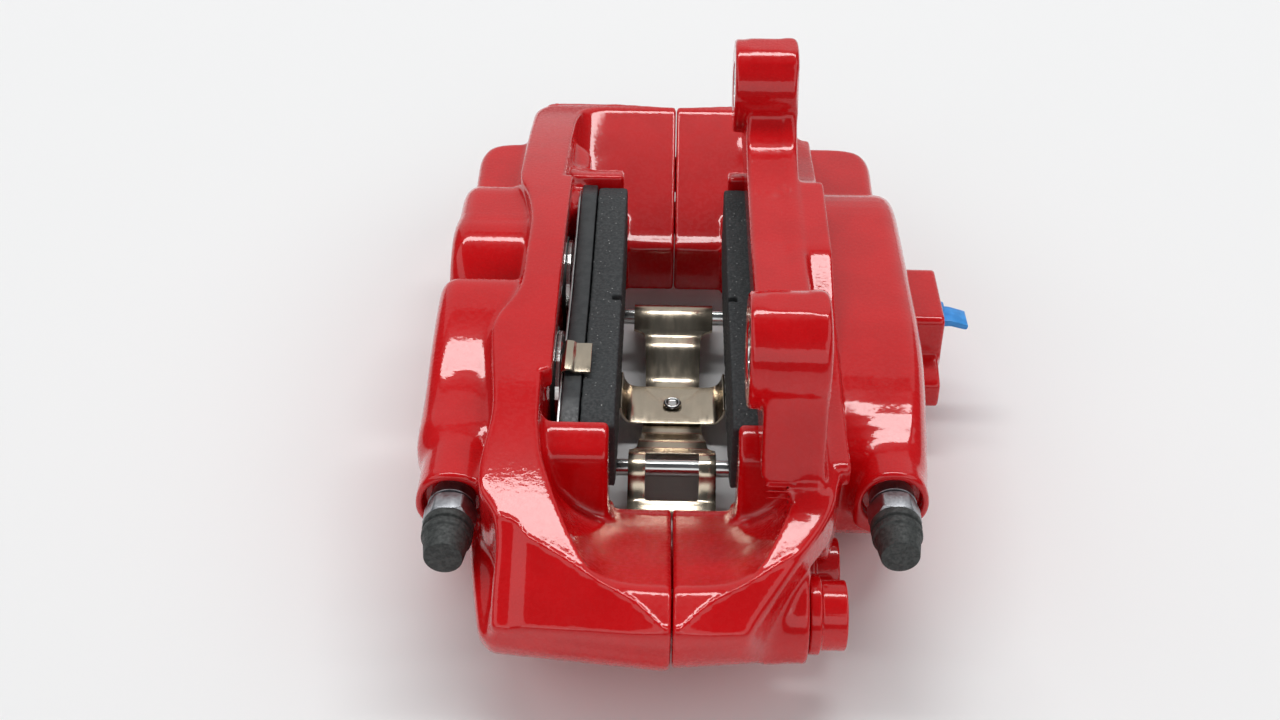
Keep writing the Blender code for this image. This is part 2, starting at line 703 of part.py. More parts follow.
def strip(name, path, half_width, thickness):
    """Bent leaf: a (y, z) path thickened and extruded along X."""
    upper = []
    lower = []
    for i, (y, z) in enumerate(path):
        before = Vector(path[max(i - 1, 0)])
        after = Vector(path[min(i + 1, len(path) - 1)])
        along = (after - before).normalized()
        across = Vector((-along.y, along.x)) * (0.5 * thickness)
        upper.append((y + across.x, z + across.y))
        lower.append((y - across.x, z - across.y))
    return prism_x(name, upper + list(reversed(lower)), -half_width, half_width)


def long_leaf(gold):
    """Spring leaf that arches over both pad pins and lies low between them."""
    half = [(14.0, 5.4), (20.0, 8.4), (25.0, 12.0), (31.0, 12.6), (PIN_Y - 4.0, 16.2), (PIN_Y, 17.4),
            (PIN_Y + 4.0, 16.0), (PIN_Y + 5.6, 12.4), (PIN_Y + 9.0, 8.8), (PIN_Y + 14.0, 8.2)]
    path = [(-y, z) for y, z in reversed(half)] + [(0.0, 5.2)] + half
    leaf = strip("spring_long_leaf", path, 13.4, 0.8)
    for end in SIDES:
        low, high = sorted((end * (PIN_Y - 4.0), end * (PIN_Y + 10.0)))
        cut(leaf, box("window", (-8.2, low, 0.0), (8.2, high, 30.0)))
    for side in SIDES:
        low, high = sorted((side * 11.0, side * 20.0))
        cut(leaf, box("waist", (low, 6.0 - PIN_Y, 0.0), (high, PIN_Y - 6.0, 30.0)))
    cut(leaf, turned_z("rivet_hole", [(0.0, 1.9), (20.0, 1.9)]))
    return finish(leaf, gold)


def turned_z(name, profile, count=16):
    loops = [[(a, b, z) for a, b in ring_points(radius, count)] for z, radius in profile]
    return loft(name, loops)


def cross_leaf(gold):
    """Wide leaf riveted on top of the long one; its wings press on both pads."""
    half = [(0.0, 6.4), (12.0, 6.4), (14.6, 7.2), (16.2, 9.6), (16.8, 12.6)]
    path = [(-x, z) for x, z in reversed(half)] + half[1:]
    upper = [(x, z + 0.4) for x, z in path]
    lower = [(x, z - 0.4) for x, z in path]
    leaf = prism_y("spring_cross_leaf", upper + list(reversed(lower)), -9.6, 9.6)
    cut(leaf, turned_z("rivet_hole", [(0.0, 1.9), (20.0, 1.9)]))
    return finish(leaf, gold)


def spring_rivet(steel):
    profile = [(3.4, 2.2), (4.4, 3.0), (4.4, 1.6), (7.1, 1.6), (7.1, 3.0), (8.2, 2.2)]
    return finish(turned_z("spring_rivet", profile, 20), steel)


# --------------------------------------------------------------- fasteners

def bridge_bolt(end, index, steel):
    y, z = BOLT_AXES[index]
    flange_radius, flange_height = BOLT_FLANGE
    head_radius, head_height = BOLT_HEAD
    seat = BOLT_SEAT_X + FIT_GAP
    rim = seat + flange_height
    top = rim + head_height
    shank = [(BOLT_TIP_X, BOLT_RADIUS - 1.0), (BOLT_TIP_X + 1.0, BOLT_RADIUS), (seat, BOLT_RADIUS)]
    flange = [(seat, flange_radius), (rim - 0.8, flange_radius), (rim, flange_radius - 0.8)]
    head = [(rim, head_radius), (top - 0.8, head_radius), (top, head_radius - 0.8)]
    socket = [(top, BOLT_SOCKET, "hex"), (rim + 1.0, BOLT_SOCKET, "hex")]
    name = "bridge_bolt_%s_%s" % (end_word(end), ("outer", "inner")[index])
    bolt = turned_x(name, shank + flange + head + socket, end * y, z, 24)
    return finish(bolt, steel)


def ear_insert(end, steel):
    profile = [(EAR_FACE_X + 0.2, INSERT_BORE_RADIUS), (EAR_BACK_X - 0.4, INSERT_BORE_RADIUS),
               (EAR_BACK_X - 0.4, EAR_HOLE_RADIUS - FIT_GAP), (EAR_FACE_X + 0.2, EAR_HOLE_RADIUS - FIT_GAP)]
    ring = tube_x("ear_insert_" + end_word(end), profile, end * EAR_Y, EAR_Z, 24)
    return finish(ring, steel)


def side_word(side):
    return "inboard" if side > 0 else "outboard"


def end_word(end):
    return "far" if end > 0 else "near"


def build():
    wipe_scene()
    paint = make_material("red_paint", (0.55, 0.006, 0.008), 0.25, 0.0)
    steel = make_material("bright_steel", (0.62, 0.62, 0.62), 0.2, 1.0)
    zinc = make_material("grey_zinc", (0.3, 0.31, 0.33), 0.4, 0.8)
    gold = make_material("gold_zinc", (0.58, 0.50, 0.38), 0.28, 1.0)
    rubber = make_material("black_rubber", (0.03, 0.032, 0.032), 0.7, 0.0)
    lining = make_material("friction_lining", (0.045, 0.05, 0.052), 0.85, 0.0)
    coating = make_material("plate_coating", (0.03, 0.034, 0.036), 0.45, 0.0)
    plastic = make_material("blue_plastic", (0.05, 0.33, 0.78), 0.4, 0.0)

    pieces = [outboard_half(paint), inboard_half(paint)]
    for side in SIDES:
        for end in SIDES:
            pieces.append(piston(side, end, steel))
            pieces.append(piston_seal(side, end, rubber))
            pieces.append(dust_boot(side, end, rubber))
        pieces.extend(pad_pieces(side, zinc, lining, coating, gold))
        pieces.append(bleeder_screw(side, zinc))
        pieces.append(bleeder_cap(side, rubber))
    for end in SIDES:
        pieces.append(pad_pin(end, steel))
        pieces.append(ear_insert(end, steel))
        for index in range(len(BOLT_AXES)):
            pieces.append(bridge_bolt(end, index, paint))
    pieces.append(crossover_seal(rubber))
    pieces.append(transit_plug(plastic))
    pieces.extend([long_leaf(gold), cross_leaf(gold), spring_rivet(steel)])

    middle = bpy.data.objects.new("caliper_middle", None)
    bpy.context.collection.objects.link(middle)
    middle.location = (-CENTRE_X * MM, 0.0, 0.0)
    for piece in pieces:
        piece.parent = middle


build()
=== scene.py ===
"""Looks of a fixed four-piston brake caliper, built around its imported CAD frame.

The two castings are modelled as clay: a grid of distances to the surface that
is added to, cut and blended, then skinned.  Small parts are turned, extruded or
bent.  Sizes are millimetres from the halves' parting plane (x), the pads'
middle (y) and the surface that the crown rests on (z).  In a half's own terms
x is the distance from the parting plane, on whichever side the half lies.
"""
import math

import bmesh
import bpy
import numpy as np
from mathutils import Matrix, Vector


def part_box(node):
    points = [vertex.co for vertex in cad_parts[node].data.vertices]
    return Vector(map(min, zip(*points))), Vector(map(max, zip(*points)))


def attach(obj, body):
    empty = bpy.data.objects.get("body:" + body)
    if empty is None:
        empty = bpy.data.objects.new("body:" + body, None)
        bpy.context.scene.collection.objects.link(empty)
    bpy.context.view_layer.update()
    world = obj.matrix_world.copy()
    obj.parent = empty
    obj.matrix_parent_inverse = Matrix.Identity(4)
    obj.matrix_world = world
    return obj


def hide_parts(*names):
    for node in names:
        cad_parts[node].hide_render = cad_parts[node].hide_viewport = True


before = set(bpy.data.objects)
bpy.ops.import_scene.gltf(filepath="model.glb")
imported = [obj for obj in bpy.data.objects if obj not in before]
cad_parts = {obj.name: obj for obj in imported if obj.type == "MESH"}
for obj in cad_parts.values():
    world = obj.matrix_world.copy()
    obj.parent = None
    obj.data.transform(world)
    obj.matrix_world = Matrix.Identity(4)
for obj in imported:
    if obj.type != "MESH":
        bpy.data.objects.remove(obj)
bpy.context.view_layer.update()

MM = 0.001
SIDES = (-1, 1)


def middle_of(node):
    """Middle of a CAD node in millimetres, as the frame has it."""
    low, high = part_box(node)
    return (low + high) * 0.5 / MM


PARTING_X = middle_of("crossover_seal").x

# Clay: values far inside and outside, the bounds of an unbounded shape, cells and skin
FILLED = -40.0
EMPTY = 40.0
FAR_LOW = (-999.0,) * 3
FAR_HIGH = (999.0,) * 3
GRID_STEP = 0.75
LINING_GRID_STEP = 0.5
MOST_TRIANGLES = 190000
MOST_LINING_TRIANGLES = 120000

# Clearance around pistons and bolts, and between parts that lie against each other
GAP = 0.3

# Castings: pairs are (y, z), but BLEED is (x, z); key -1 is the outboard half, and the near end's
# pistons in PISTON_RADIUS
HALF_LENGTH = 139.5
END_SWEEP = 0.165
TIP_BLEND = 18.0
PARTING_GAP = 0.15
CROWN_RADIUS = 375.0
CROWN_CENTRE_Z = 373.8
RIM_HEIGHT = 64.5
RIM_FALL = 1.0 / 1014.0
RIDGE_X = (0.0, 2.5, 6.2, 9.7, 15.0, 21.5, 27.0, 32.5, 37.5, 41.0, 60.0)
RIDGE_Y = (138.5, 137.8, 133.8, 130.6, 127.2, 123.2, 119.2, 115.7, 112.6, 108.0, 100.0)
FAR_RIDGE_X = (0.0, 9.0, 17.0, 25.0, 37.0, 44.0, 51.5, 57.0)
FAR_RIDGE_Y = (128.0, 128.7, 129.8, 130.8, 131.6, 131.2, 127.0, 119.0)
END_SLOPE = math.radians(30.0)
OUTBOARD_REACH = 72.4
CAVITY_X = 36.4
CAVITY_HALF_LENGTH = 66.6
LIP_X = 34.8
LIP_Z = 55.5
SLOT_X = 17.0
SLOT_HALF_LENGTH = 69.0
BOWL_FLOOR = 23.0
BOWL_SLOPE = 0.443
PISTON_Y = 27.0
PISTON_Z = 34.0
PISTON_RADIUS = {-1: 17.5, 1: 16.0}
BOSS_ROOT_X = 38.0
PIN = (40.0, 13.7)
PIN_HOLE_RADIUS = 3.4
PIN_HOLE_END = {-1: 49.0, 1: 95.0}
BOLT_AXES = ((114.7, 28.0), (92.0, 22.0))
BOLT_HOLE_END = {-1: 33.0, 1: 60.0}
BOLT_SEAT_X = 35.5
BOLT_RADIUS = 6.0
BOLT_FLANGE_RADIUS = 10.5
BOLT_FLANGE_HEIGHT = 3.2
BOLT_HEAD_RADIUS = 9.3
BOLT_HEAD_HEIGHT = 6.8
BOLT_SOCKET = 5.2
BLEED = (60.0, 41.0)
BLEED_BOSS_RADIUS = 10.3
BLEEDER_HEX_REACH = 7.4
BLEED_FACES = {-1: -89.0, 1: -85.0}
EAR = (75.0, 85.0)
EAR_RADIUS = 15.5
EAR_TOP = EAR[1] + EAR_RADIUS
EAR_HOLE_RADIUS = 7.6
FLANGE_X = (18.7, 22.8, 39.1, 46.6)
SADDLE_Z = 71.0
RELIEF_HALF_LENGTH = 89.5
BODY_REACH = 75.5
INLET = (19.0, 31.0)
INLET_FACE_X = 86.5

# Pads (x of the lining's face, then thicknesses)
PAD_FACE_X = 16.5
PAD_HALF_LENGTH = 66.0
LINING_BACK_X = PAD_FACE_X + 10.0
PLATE_FRONT_X = LINING_BACK_X + GAP
PLATE_BACK_X = PLATE_FRONT_X + 5.2
SHIM_FRONT_X = PLATE_BACK_X + GAP
SHIM_BACK_X = SHIM_FRONT_X + 0.7
PAD_HOLE_RADIUS = 3.2

# Retaining spring
LEAF_THICKNESS = 0.8
LONG_LEAF_HALF_WIDTH = 13.4
CROSS_LEAF_HALF_WIDTH = 9.6
RIVET_HOLE_RADIUS = 1.9


# ------------------------------------------------------------- distances

def smooth_max(a, b, blend):
    if blend <= 0.0:
        return np.maximum(a, b)
    near = np.clip(blend - np.abs(a - b), 0.0, None) / blend
    return np.maximum(a, b) + near * near * blend * 0.25


def smooth_min(a, b, blend):
    return -smooth_max(-a, -b, blend)


def fillet(points, reach, steps=6):
    """Round every corner of a closed outline, up to `reach` along its edges."""
    rounded = []
    for i, corner in enumerate(points):
        corner = Vector(corner)
        before = Vector(points[i - 1]) - corner
        after = Vector(points[(i + 1) % len(points)]) - corner
        start = corner + before.normalized() * min(reach, before.length * 0.49)
        end = corner + after.normalized() * min(reach, after.length * 0.49)
        for k in range(steps):
            t = k / (steps - 1)
            rounded.append(start * (1 - t) ** 2 + corner * 2 * t * (1 - t) + end * t * t)
    return [tuple(point) for point in rounded]


def polygon_distance(points, u, v):
    """Signed distance in a plane from (u, v) to a closed outline."""
    best = np.full(np.broadcast_shapes(u.shape, v.shape), 1e9)
    inside = np.zeros(best.shape, bool)
    for (ax, ay), (bx, by) in zip(points, points[1:] + points[:1]):
        ex, ey = bx - ax, by - ay
        length = max(ex * ex + ey * ey, 1e-12)
        t = np.clip(((u - ax) * ex + (v - ay) * ey) / length, 0.0, 1.0)
        best = np.minimum(best, (u - ax - t * ex) ** 2 + (v - ay - t * ey) ** 2)
        if ay != by:
            inside ^= ((ay > v) != (by > v)) & (u < ex * (v - ay) / ey + ax)
    return np.where(inside, -1.0, 1.0) * np.sqrt(best)


def extruded(flat, along, low, high, edge=0.0):
    """Distance to a flat shape extruded from low to high, with rounded rims."""
    across = flat + edge
    end = np.abs(along - 0.5 * (low + high)) - 0.5 * (high - low) + edge
    outside = np.sqrt(np.maximum(across, 0.0) ** 2 + np.maximum(end, 0.0) ** 2)
    return outside + np.minimum(np.maximum(across, end), 0.0) - edge


def slab(low, high, edge=0.0):
    """Box with rounded edges."""
    def distance(x, y, z):
        gaps = [np.abs(p - 0.5 * (a + b)) - 0.5 * (b - a) + edge for p, a, b in zip((x, y, z), low, high)]
        outside = np.sqrt(sum(np.maximum(gap, 0.0) ** 2 for gap in gaps))
        return outside + np.minimum(np.maximum(np.maximum(gaps[0], gaps[1]), gaps[2]), 0.0) - edge
    return distance


def rod_x(y0, z0, radius, low, high, edge=0.0):
    return lambda x, y, z: extruded(np.hypot(y - y0, z - z0) - radius, x, low, high, edge)


def rod_y(x0, z0, radius, low, high, edge=0.0):
    return lambda x, y, z: extruded(np.hypot(x - x0, z - z0) - radius, y, low, high, edge)


def prism_x(points, low, high, edge=0.0):
    return lambda x, y, z: extruded(polygon_distance(points, y, z), x, low, high, edge)


def prism_y(points, low, high, edge=0.0):
    return lambda x, y, z: extruded(polygon_distance(points, x, z), y, low, high, edge)


def prism_z(points, low, high, edge=0.0):
    return lambda x, y, z: extruded(polygon_distance(points, x, y), z, low, high, edge)


class Clay:
    """A solid as distances on a grid; negative is inside."""

    def __init__(self, low, high, step):
        self.step = step
        self.axes = [np.arange(a - 4 * step, b + 5 * step, step) for a, b in zip(low, high)]
        self.field = np.full([len(axis) for axis in self.axes], EMPTY, np.float32)

    def shape(self, distance, mix, blend, low, high):
        """Mix a shape in, touching only the cells near its own box."""
        margin = blend + 3.0 * self.step
        slices = []
        for axis, a, b in zip(self.axes, low, high):
            first, last = np.searchsorted(axis, (a - margin, b + margin))
            slices.append(slice(first, last))
        slices = tuple(slices)
        x, y, z = [axis[cut] for axis, cut in zip(self.axes, slices)]
        other = distance(x[:, None, None], y[None, :, None], z[None, None, :])
        self.field[slices] = mix(self.field[slices], other, blend)

    def add(self, distance, blend=0.0, low=FAR_LOW, high=FAR_HIGH):
        self.shape(distance, smooth_min, blend, low, high)

    def cut(self, distance, blend=0.0, low=FAR_LOW, high=FAR_HIGH):
        self.shape(distance, lambda a, b, k: smooth_max(a, -b, k), blend, low, high)

    def keep(self, distance, blend=0.0, low=FAR_LOW, high=FAR_HIGH):
        self.shape(distance, smooth_max, blend, low, high)

    def sample(self, points):
        """Distance and its gradient at points, between the grid's cells."""
        place = [(points[:, i] - self.axes[i][0]) / self.step for i in range(3)]
        base = [np.clip(p.astype(int), 0, len(a) - 2) for p, a in zip(place, self.axes)]
        part = [p - b for p, b in zip(place, base)]
        value = 0.0
        slope = np.zeros((len(points), 3))
        for i in (0, 1):
            for j in (0, 1):
                for k in (0, 1):
                    corner = self.field[base[0] + i, base[1] + j, base[2] + k]
                    share = [part[0] if i else 1 - part[0], part[1] if j else 1 - part[1],
                             part[2] if k else 1 - part[2]]
                    value = value + corner * share[0] * share[1] * share[2]
                    slope[:, 0] += (2 * i - 1) * corner * share[1] * share[2]
                    slope[:, 1] += (2 * j - 1) * corner * share[0] * share[2]
                    slope[:, 2] += (2 * k - 1) * corner * share[0] * share[1]
        return value, slope / self.step

    def normals(self, points):
        """Outward directions from distances one cell away on each side."""
        slope = np.zeros((len(points), 3))
        for i in range(3):
            step = np.zeros(3)
            step[i] = 0.8 * self.step
            slope[:, i] = self.sample(points + step)[0] - self.sample(points - step)[0]
        return slope / np.maximum(np.linalg.norm(slope, axis=1, keepdims=True), 1e-9)

    def skin(self):
        """Points and quads of the surface, one point in each cell that it crosses."""
        field = self.field
        inside = field < 0.0
        corners = np.zeros([n - 1 for n in field.shape], np.uint8)
        for i in (0, 1):
            for j in (0, 1):
                for k in (0, 1):
                    nx, ny, nz = corners.shape
                    corners += inside[i:nx + i, j:ny + j, k:nz + k]
        active = (corners > 0) & (corners < 8)
        cells = np.argwhere(active)
        index = np.full(active.shape, -1, np.int64)
        index[active] = np.arange(len(cells))
        total = np.zeros((len(cells), 3))
        count = np.zeros((len(cells), 1))
        unit = np.eye(3, dtype=int)
        for axis in range(3):
            u, v = unit[(axis + 1) % 3], unit[(axis + 2) % 3]
            for start in (0 * u, u, v, u + v):
                first = cells + start
                last = first + unit[axis]
                a = field[tuple(first.T)].astype(float)
                b = field[tuple(last.T)].astype(float)
                crossed = ((a < 0) != (b < 0))[:, None]
                t = (a / np.where(a == b, 1.0, a - b))[:, None]
                total += np.where(crossed, first + t * unit[axis], 0.0)
                count += crossed
        points = total / count * self.step + np.array([axis[0] for axis in self.axes])
        quads = []
        for axis in range(3):
            u, v = unit[(axis + 1) % 3], unit[(axis + 2) % 3]
            ahead = np.take(inside, range(1, inside.shape[axis]), axis)
            behind = np.take(inside, range(inside.shape[axis] - 1), axis)
            edges = np.argwhere(ahead != behind)
            leaving = behind[tuple(edges.T)]
            ring = [index[tuple((edges - shift).T)] for shift in (u + v, v, 0 * u, u)]
            ring = np.stack(ring, 1)
            ring[~leaving] = ring[~leaving][:, ::-1]
            quads.append(ring)
        quads = np.concatenate(quads)
        for _ in range(3):
            value, slope = self.sample(points)
            square = np.maximum((slope ** 2).sum(1), 0.05)
            move = np.clip(value / square, -0.5 * self.step, 0.5 * self.step)
            points = points - 0.8 * slope * move[:, None]
        return points, quads


def mesh_from(points, faces, name):
    mesh = bpy.data.meshes.new(name)
    mesh.vertices.add(len(points))
    mesh.vertices.foreach_set("co", np.asarray(points, np.float32).ravel())
    size = faces.shape[1]
    mesh.loops.add(faces.size)
    mesh.loops.foreach_set("vertex_index", faces.astype(np.int32).ravel())
    mesh.polygons.add(len(faces))
    mesh.polygons.foreach_set("loop_start", np.arange(len(faces), dtype=np.int32) * size)
    mesh.update(calc_edges=True)
    mesh.validate()
    piece = bpy.data.objects.new(name, mesh)
    bpy.context.scene.collection.objects.link(piece)
    return piece


def settle(piece):
    """Apply a piece's modifiers."""
    graph = bpy.context.evaluated_depsgraph_get()
    mesh = bpy.data.meshes.new_from_object(piece.evaluated_get(graph))
    piece.modifiers.clear()
    piece.data = mesh


def fired(clay, side, name, most=MOST_TRIANGLES):
    """Skin the clay, thin the skin to at most `most` triangles and give it the clay's own normals."""
    points, quads = clay.skin()
    piece = mesh_from(points * MM, quads, name)
    if 2 * len(quads) > most:
        thin = piece.modifiers.new("thin", "DECIMATE")
        thin.ratio = most / (2.0 * len(quads))
        settle(piece)
    mesh = piece.data
    points = np.zeros(len(mesh.vertices) * 3)
    mesh.vertices.foreach_get("co", points)
    points = points.reshape(-1, 3) / MM
    normals = clay.normals(points)
    placed = points * (side, 1.0, 1.0) + (PARTING_X, 0.0, 0.0)
    mesh.vertices.foreach_set("co", (placed * MM).ravel())
    if side < 0:
        mesh.flip_normals()
    mesh.polygons.foreach_set("use_smooth", [True] * len(mesh.polygons))
    mesh.update()
    mesh.normals_split_custom_set_from_vertices(normals * (side, 1.0, 1.0))
    return piece


# -------------------------------------------------------------- castings

def rim_z(y):
    return RIM_HEIGHT - RIM_FALL * y * y


def rim(x, y, z):
    return (z - rim_z(y)) * 0.985


def crown(x, y, z):
    return np.maximum(np.hypot(y, z - CROWN_CENTRE_Z) - CROWN_RADIUS, -z)


def tip(x, y, z):
    return (np.abs(y) + END_SWEEP * x - HALF_LENGTH) / math.hypot(1.0, END_SWEEP)


def ridge_at(x, y):
    """How far along Y the rim reaches before it slants away, for each end."""
    return np.where(y < 0.0, np.interp(x, RIDGE_X, RIDGE_Y), np.interp(x, FAR_RIDGE_X, FAR_RIDGE_Y))


def end_bevel(x, y, z):
    """Slanted end face below a curved ridge on the rim."""
    ridge = ridge_at(x, y)
    return ((z - rim_z(ridge)) * math.cos(END_SLOPE) + (np.abs(y) - ridge) * math.sin(END_SLOPE)) * 0.9


def ridge_line(x, y, z):
    """Thin raised line along the ridge, a trace of the mould."""
    along = (np.abs(y) - ridge_at(x, y)) * 0.8
    return np.hypot(along, z - rim_z(np.abs(y))) - 0.42


def parting_face(x, y, z):
    return PARTING_GAP - x + 0.0 * (y + z)


def bowl(x, y, z):
    """Hollow between rim and disc, wider and longer with height; squarer at the far end."""
    if y.max() > 0.0:
        half = [(1.0, -4.0), (1.0, 0.70), (0.97, 0.86), (0.88, 0.95), (0.74, 1.0), (0.0, 1.0)]
    else:
        half = [(1.0, -4.0), (1.0, 0.06), (0.96, 0.28), (0.85, 0.50), (0.74, 0.683), (0.625, 0.83),
                (0.52, 0.917), (0.41, 0.969), (0.26, 0.99), (0.0, 1.0)]
    outline = half + [(-u, v) for u, v in reversed(half[:-1])]
    width = np.interp(z, (BOWL_FLOOR, 31.0, 40.0, 48.6, 70.0), (25.0, 31.0, 34.6, 36.2, 38.5))
    reach = np.clip((np.minimum(z, 49.5) - BOWL_FLOOR) / BOWL_SLOPE, 1.5, None)
    reach = reach + np.clip(z - 56.0, 0.0, 6.0) * 0.5
    along = (np.abs(y) - SLOT_HALF_LENGTH) / reach
    level = polygon_distance(fillet(outline, 0.05, 3), x / width, along)
    slopes = np.gradient(level, x.ravel(), y.ravel(), z.ravel())
    steepness = np.sqrt(sum(s * s for s in slopes))
    level = level / np.clip(steepness, 0.004, None)
    return smooth_max(level, BOWL_FLOOR - z, 3.0)


def half_shell(clay, plan):
    clay.field[:] = FILLED
    clay.keep(crown)
    clay.keep(tip, TIP_BLEND)
    clay.keep(end_bevel, 0.8)
    clay.keep(rim, 0.7)
    clay.add(ridge_line, 0.5)
    clay.keep(prism_z(plan, -50.0, 150.0), 2.0)


def room(reach, half_length, top):
    """Square-cut space for the pads or the disc, open below and at the parting plane."""
    return slab((-40.0, -half_length, -30.0), (reach, half_length, top), 1.0)


def pad_cavity(clay):
    clay.cut(room(CAVITY_X, CAVITY_HALF_LENGTH, LIP_Z), 0.9)


def hollow(clay):
    """Bowls at the ends, the pads' cavity under its lip, the window above it and the disc's slot."""
    for end in SIDES:
        low, high = sorted((end * 58.0, end * 136.0))
        clay.cut(bowl, 1.2, (-3.0, low, 18.0), (42.0, high, 70.0))
    pad_cavity(clay)
    clay.cut(room(LIP_X, CAVITY_HALF_LENGTH, 150.0), 0.9)
    clay.cut(room(SLOT_X, SLOT_HALF_LENGTH, 150.0), 1.2)


def abutments(clay):
    """Blocks that take the pads' ends when braking."""
    for end in SIDES:
        outline = [(66.6, 20.0), (66.6, 53.7), (70.6, 53.3), (77.0, 50.5), (78.5, 48.2), (80.5, 28.0)]
        outline = fillet([(end * y, z) for y, z in outline], 1.8)
        low, high = sorted((end * 66.0, end * 82.0))
        clay.add(prism_x(outline, 18.0, 39.0, 1.6), 3.5, (16.0, low, 18.0), (41.0, high, 56.0))


def drill(clay, side):
    """Machined holes: piston bores, pad pins and bolts; the last two are blind in the outboard half."""
    for end in SIDES:
        radius = PISTON_RADIUS[end]
        y = end * PISTON_Y
        boot_groove = rod_x(y, PISTON_Z, radius + 2.6, 34.0, 40.6, 0.3)
        clay.cut(boot_groove, 0.4, (30, y - 23, 12), (42, y + 23, 60))
        bore = rod_x(y, PISTON_Z, radius + GAP, 38.0, 67.0, 0.3)
        clay.cut(bore, 0.4, (36, y - 21, 14), (68, y + 21, 58))
        seal_groove = rod_x(y, PISTON_Z, radius + 2.7, 49.0, 52.6)
        clay.cut(seal_groove, 0.0, (48, y - 23, 12), (54, y + 23, 60))
        y, z = end * PIN[0], PIN[1]
        hole = rod_x(y, z, PIN_HOLE_RADIUS, 30.0, PIN_HOLE_END[side])
        clay.cut(hole, 0.8, (30, y - 6, z - 6), (95, y + 6, z + 6))
        for y, z in BOLT_AXES:
            y = end * y
            hole = rod_x(y, z, BOLT_RADIUS + GAP, -5.0, BOLT_HOLE_END[side])
            clay.cut(hole, 0.6, (-5, y - 9, z - 9), (60, y + 9, z + 9))


def bleed_outline():
    """Rounded boss, pointed below."""
    r = BLEED_BOSS_RADIUS
    outline = [(-r, -9.0), (-r, 2.0), (-0.8 * r, 7.0), (-0.35 * r, r), (0.35 * r, r), (0.8 * r, 7.0),
               (r, 1.0), (r, -4.0), (0.6 * r, -10.0), (0.0, -14.0)]
    return fillet([(BLEED[0] + u, BLEED[1] + w) for u, w in outline], 3.0)


def bleed_boss(clay, side, blend):
    face = BLEED_FACES[side]
    clay.add(prism_y(bleed_outline(), face, -46.0, 1.4), blend, (45, face - 4, 22), (76, -30, 56))


def far_block(clay, reach, foot):
    """Low shoulder beyond the far piston's boss."""
    outline = [(30.0, 50.0), (reach, 50.0), (reach + 1.0, 90.0), (reach - 5.0, 97.0), (30.0, 97.0)]
    clay.add(prism_z(fillet(outline, 9.0), foot, 50.2, 3.5), 3.0)


def bleed_hole(clay, side):
    """Wide pocket and narrow drilling for a bleeder: (radius, depth, blend, margin)."""
    x, z = BLEED
    face = BLEED_FACES[side]
    for radius, depth, blend, margin in ((8.2, 4.0, 0.8, 11.0), (4.3, 26.0, 0.4, 6.0)):
        low = (x - margin, face - 12.0, z - margin)
        high = (x + margin, face + depth + 2.0, z + margin)
        clay.cut(rod_y(x, z, radius, face - 14.0, face + depth), blend, low, high)


def within_box(clay, reach, top):
    """Shave off what the blends have swollen beyond the CAD's own box."""
    clay.keep(slab((-40.0, 0.2 - HALF_LENGTH, 0.05), (reach, HALF_LENGTH - 0.2, top)))


def outboard_plan():
    near = [(50.0, -70.0), (52.3, -90.0), (51.5, -98.0), (47.0, -104.0), (45.4, -112.0), (46.2, -126.0),
            (44.0, -160.0)]
    far = [(43.5, 160.0), (48.8, 130.0), (52.8, 122.0), (52.8, 52.0)]
    waist = [(49.0, 42.0), (46.4, 26.0), (46.4, -16.0), (54.0, -33.0)]
    return fillet([(-20.0, 160.0)] + far + waist + near + [(-20.0, -160.0)], 7.0)


def lump(reach, top):
    """Fresh clay for one half, out to a distance from the parting plane and up to a height."""
    return Clay((0.0, -HALF_LENGTH, 0.0), (reach, HALF_LENGTH, top), GRID_STEP)


def blended(clay, other, blend):
    """Melt a second lump of the same size into the first."""
    clay.field = smooth_min(clay.field, other.field, blend).astype(np.float32)


def flared_skirt():
    """Lower part of the outboard half, which stands out under the rim."""
    outline = fillet([(0.0, -150.0), (45.0, -150.0), (49.5, -128.0), (54.5, -100.0), (56.0, -84.0),
                      (53.0, -60.0), (0.0, -60.0)], 8.0)
    skirt = lump(OUTBOARD_REACH, RIM_HEIGHT)
    skirt.field[:] = FILLED
    skirt.keep(crown)
    skirt.keep(tip, TIP_BLEND)
    skirt.keep(prism_z(outline, -40.0, 33.5, 2.0), 4.0)
    return skirt


def outboard_bosses():
    """Piston bosses, the belly under them, the bleeder's boss and the far shoulder."""
    bosses = lump(OUTBOARD_REACH, RIM_HEIGHT)
    far_boss = [(27.0, 10.0), (27.0, 58.5), (53.0, 57.8), (60.0, 52.0), (62.0, 36.0), (56.0, 10.0)]
    bosses.add(prism_x(fillet(far_boss, 6.0), BOSS_ROOT_X, 71.5, 6.0))
    bosses.add(rod_x(PISTON_Y, PISTON_Z + 1.0, 23.5, BOSS_ROOT_X, OUTBOARD_REACH, 6.0), 1.0)
    near_boss = [(-1.5, 10.0), (-1.5, 52.0), (-4.5, 58.5), (-8.0, 60.4), (-16.0, 60.2), (-24.0, 59.2),
                 (-33.0, 57.5), (-42.0, 55.1), (-50.0, 52.7), (-58.0, 51.2), (-68.0, 50.6), (-74.0, 46.0),
                 (-72.0, 30.0), (-60.0, 12.0)]
    bosses.add(prism_x(fillet(near_boss, 4.0), BOSS_ROOT_X, 72.0, 6.0), 0.8)
    belly = fillet([(-60, 12), (-52, 6), (-20, 2), (20, 2), (50, 6), (58, 12), (58, 40), (-60, 40)], 8.0)
    bosses.add(prism_x(belly, BOSS_ROOT_X, 70.0, 6.0), 4.0)
    bleed_boss(bosses, -1, 4.0)
    far_block(bosses, 69.0, 14.0)
    return bosses


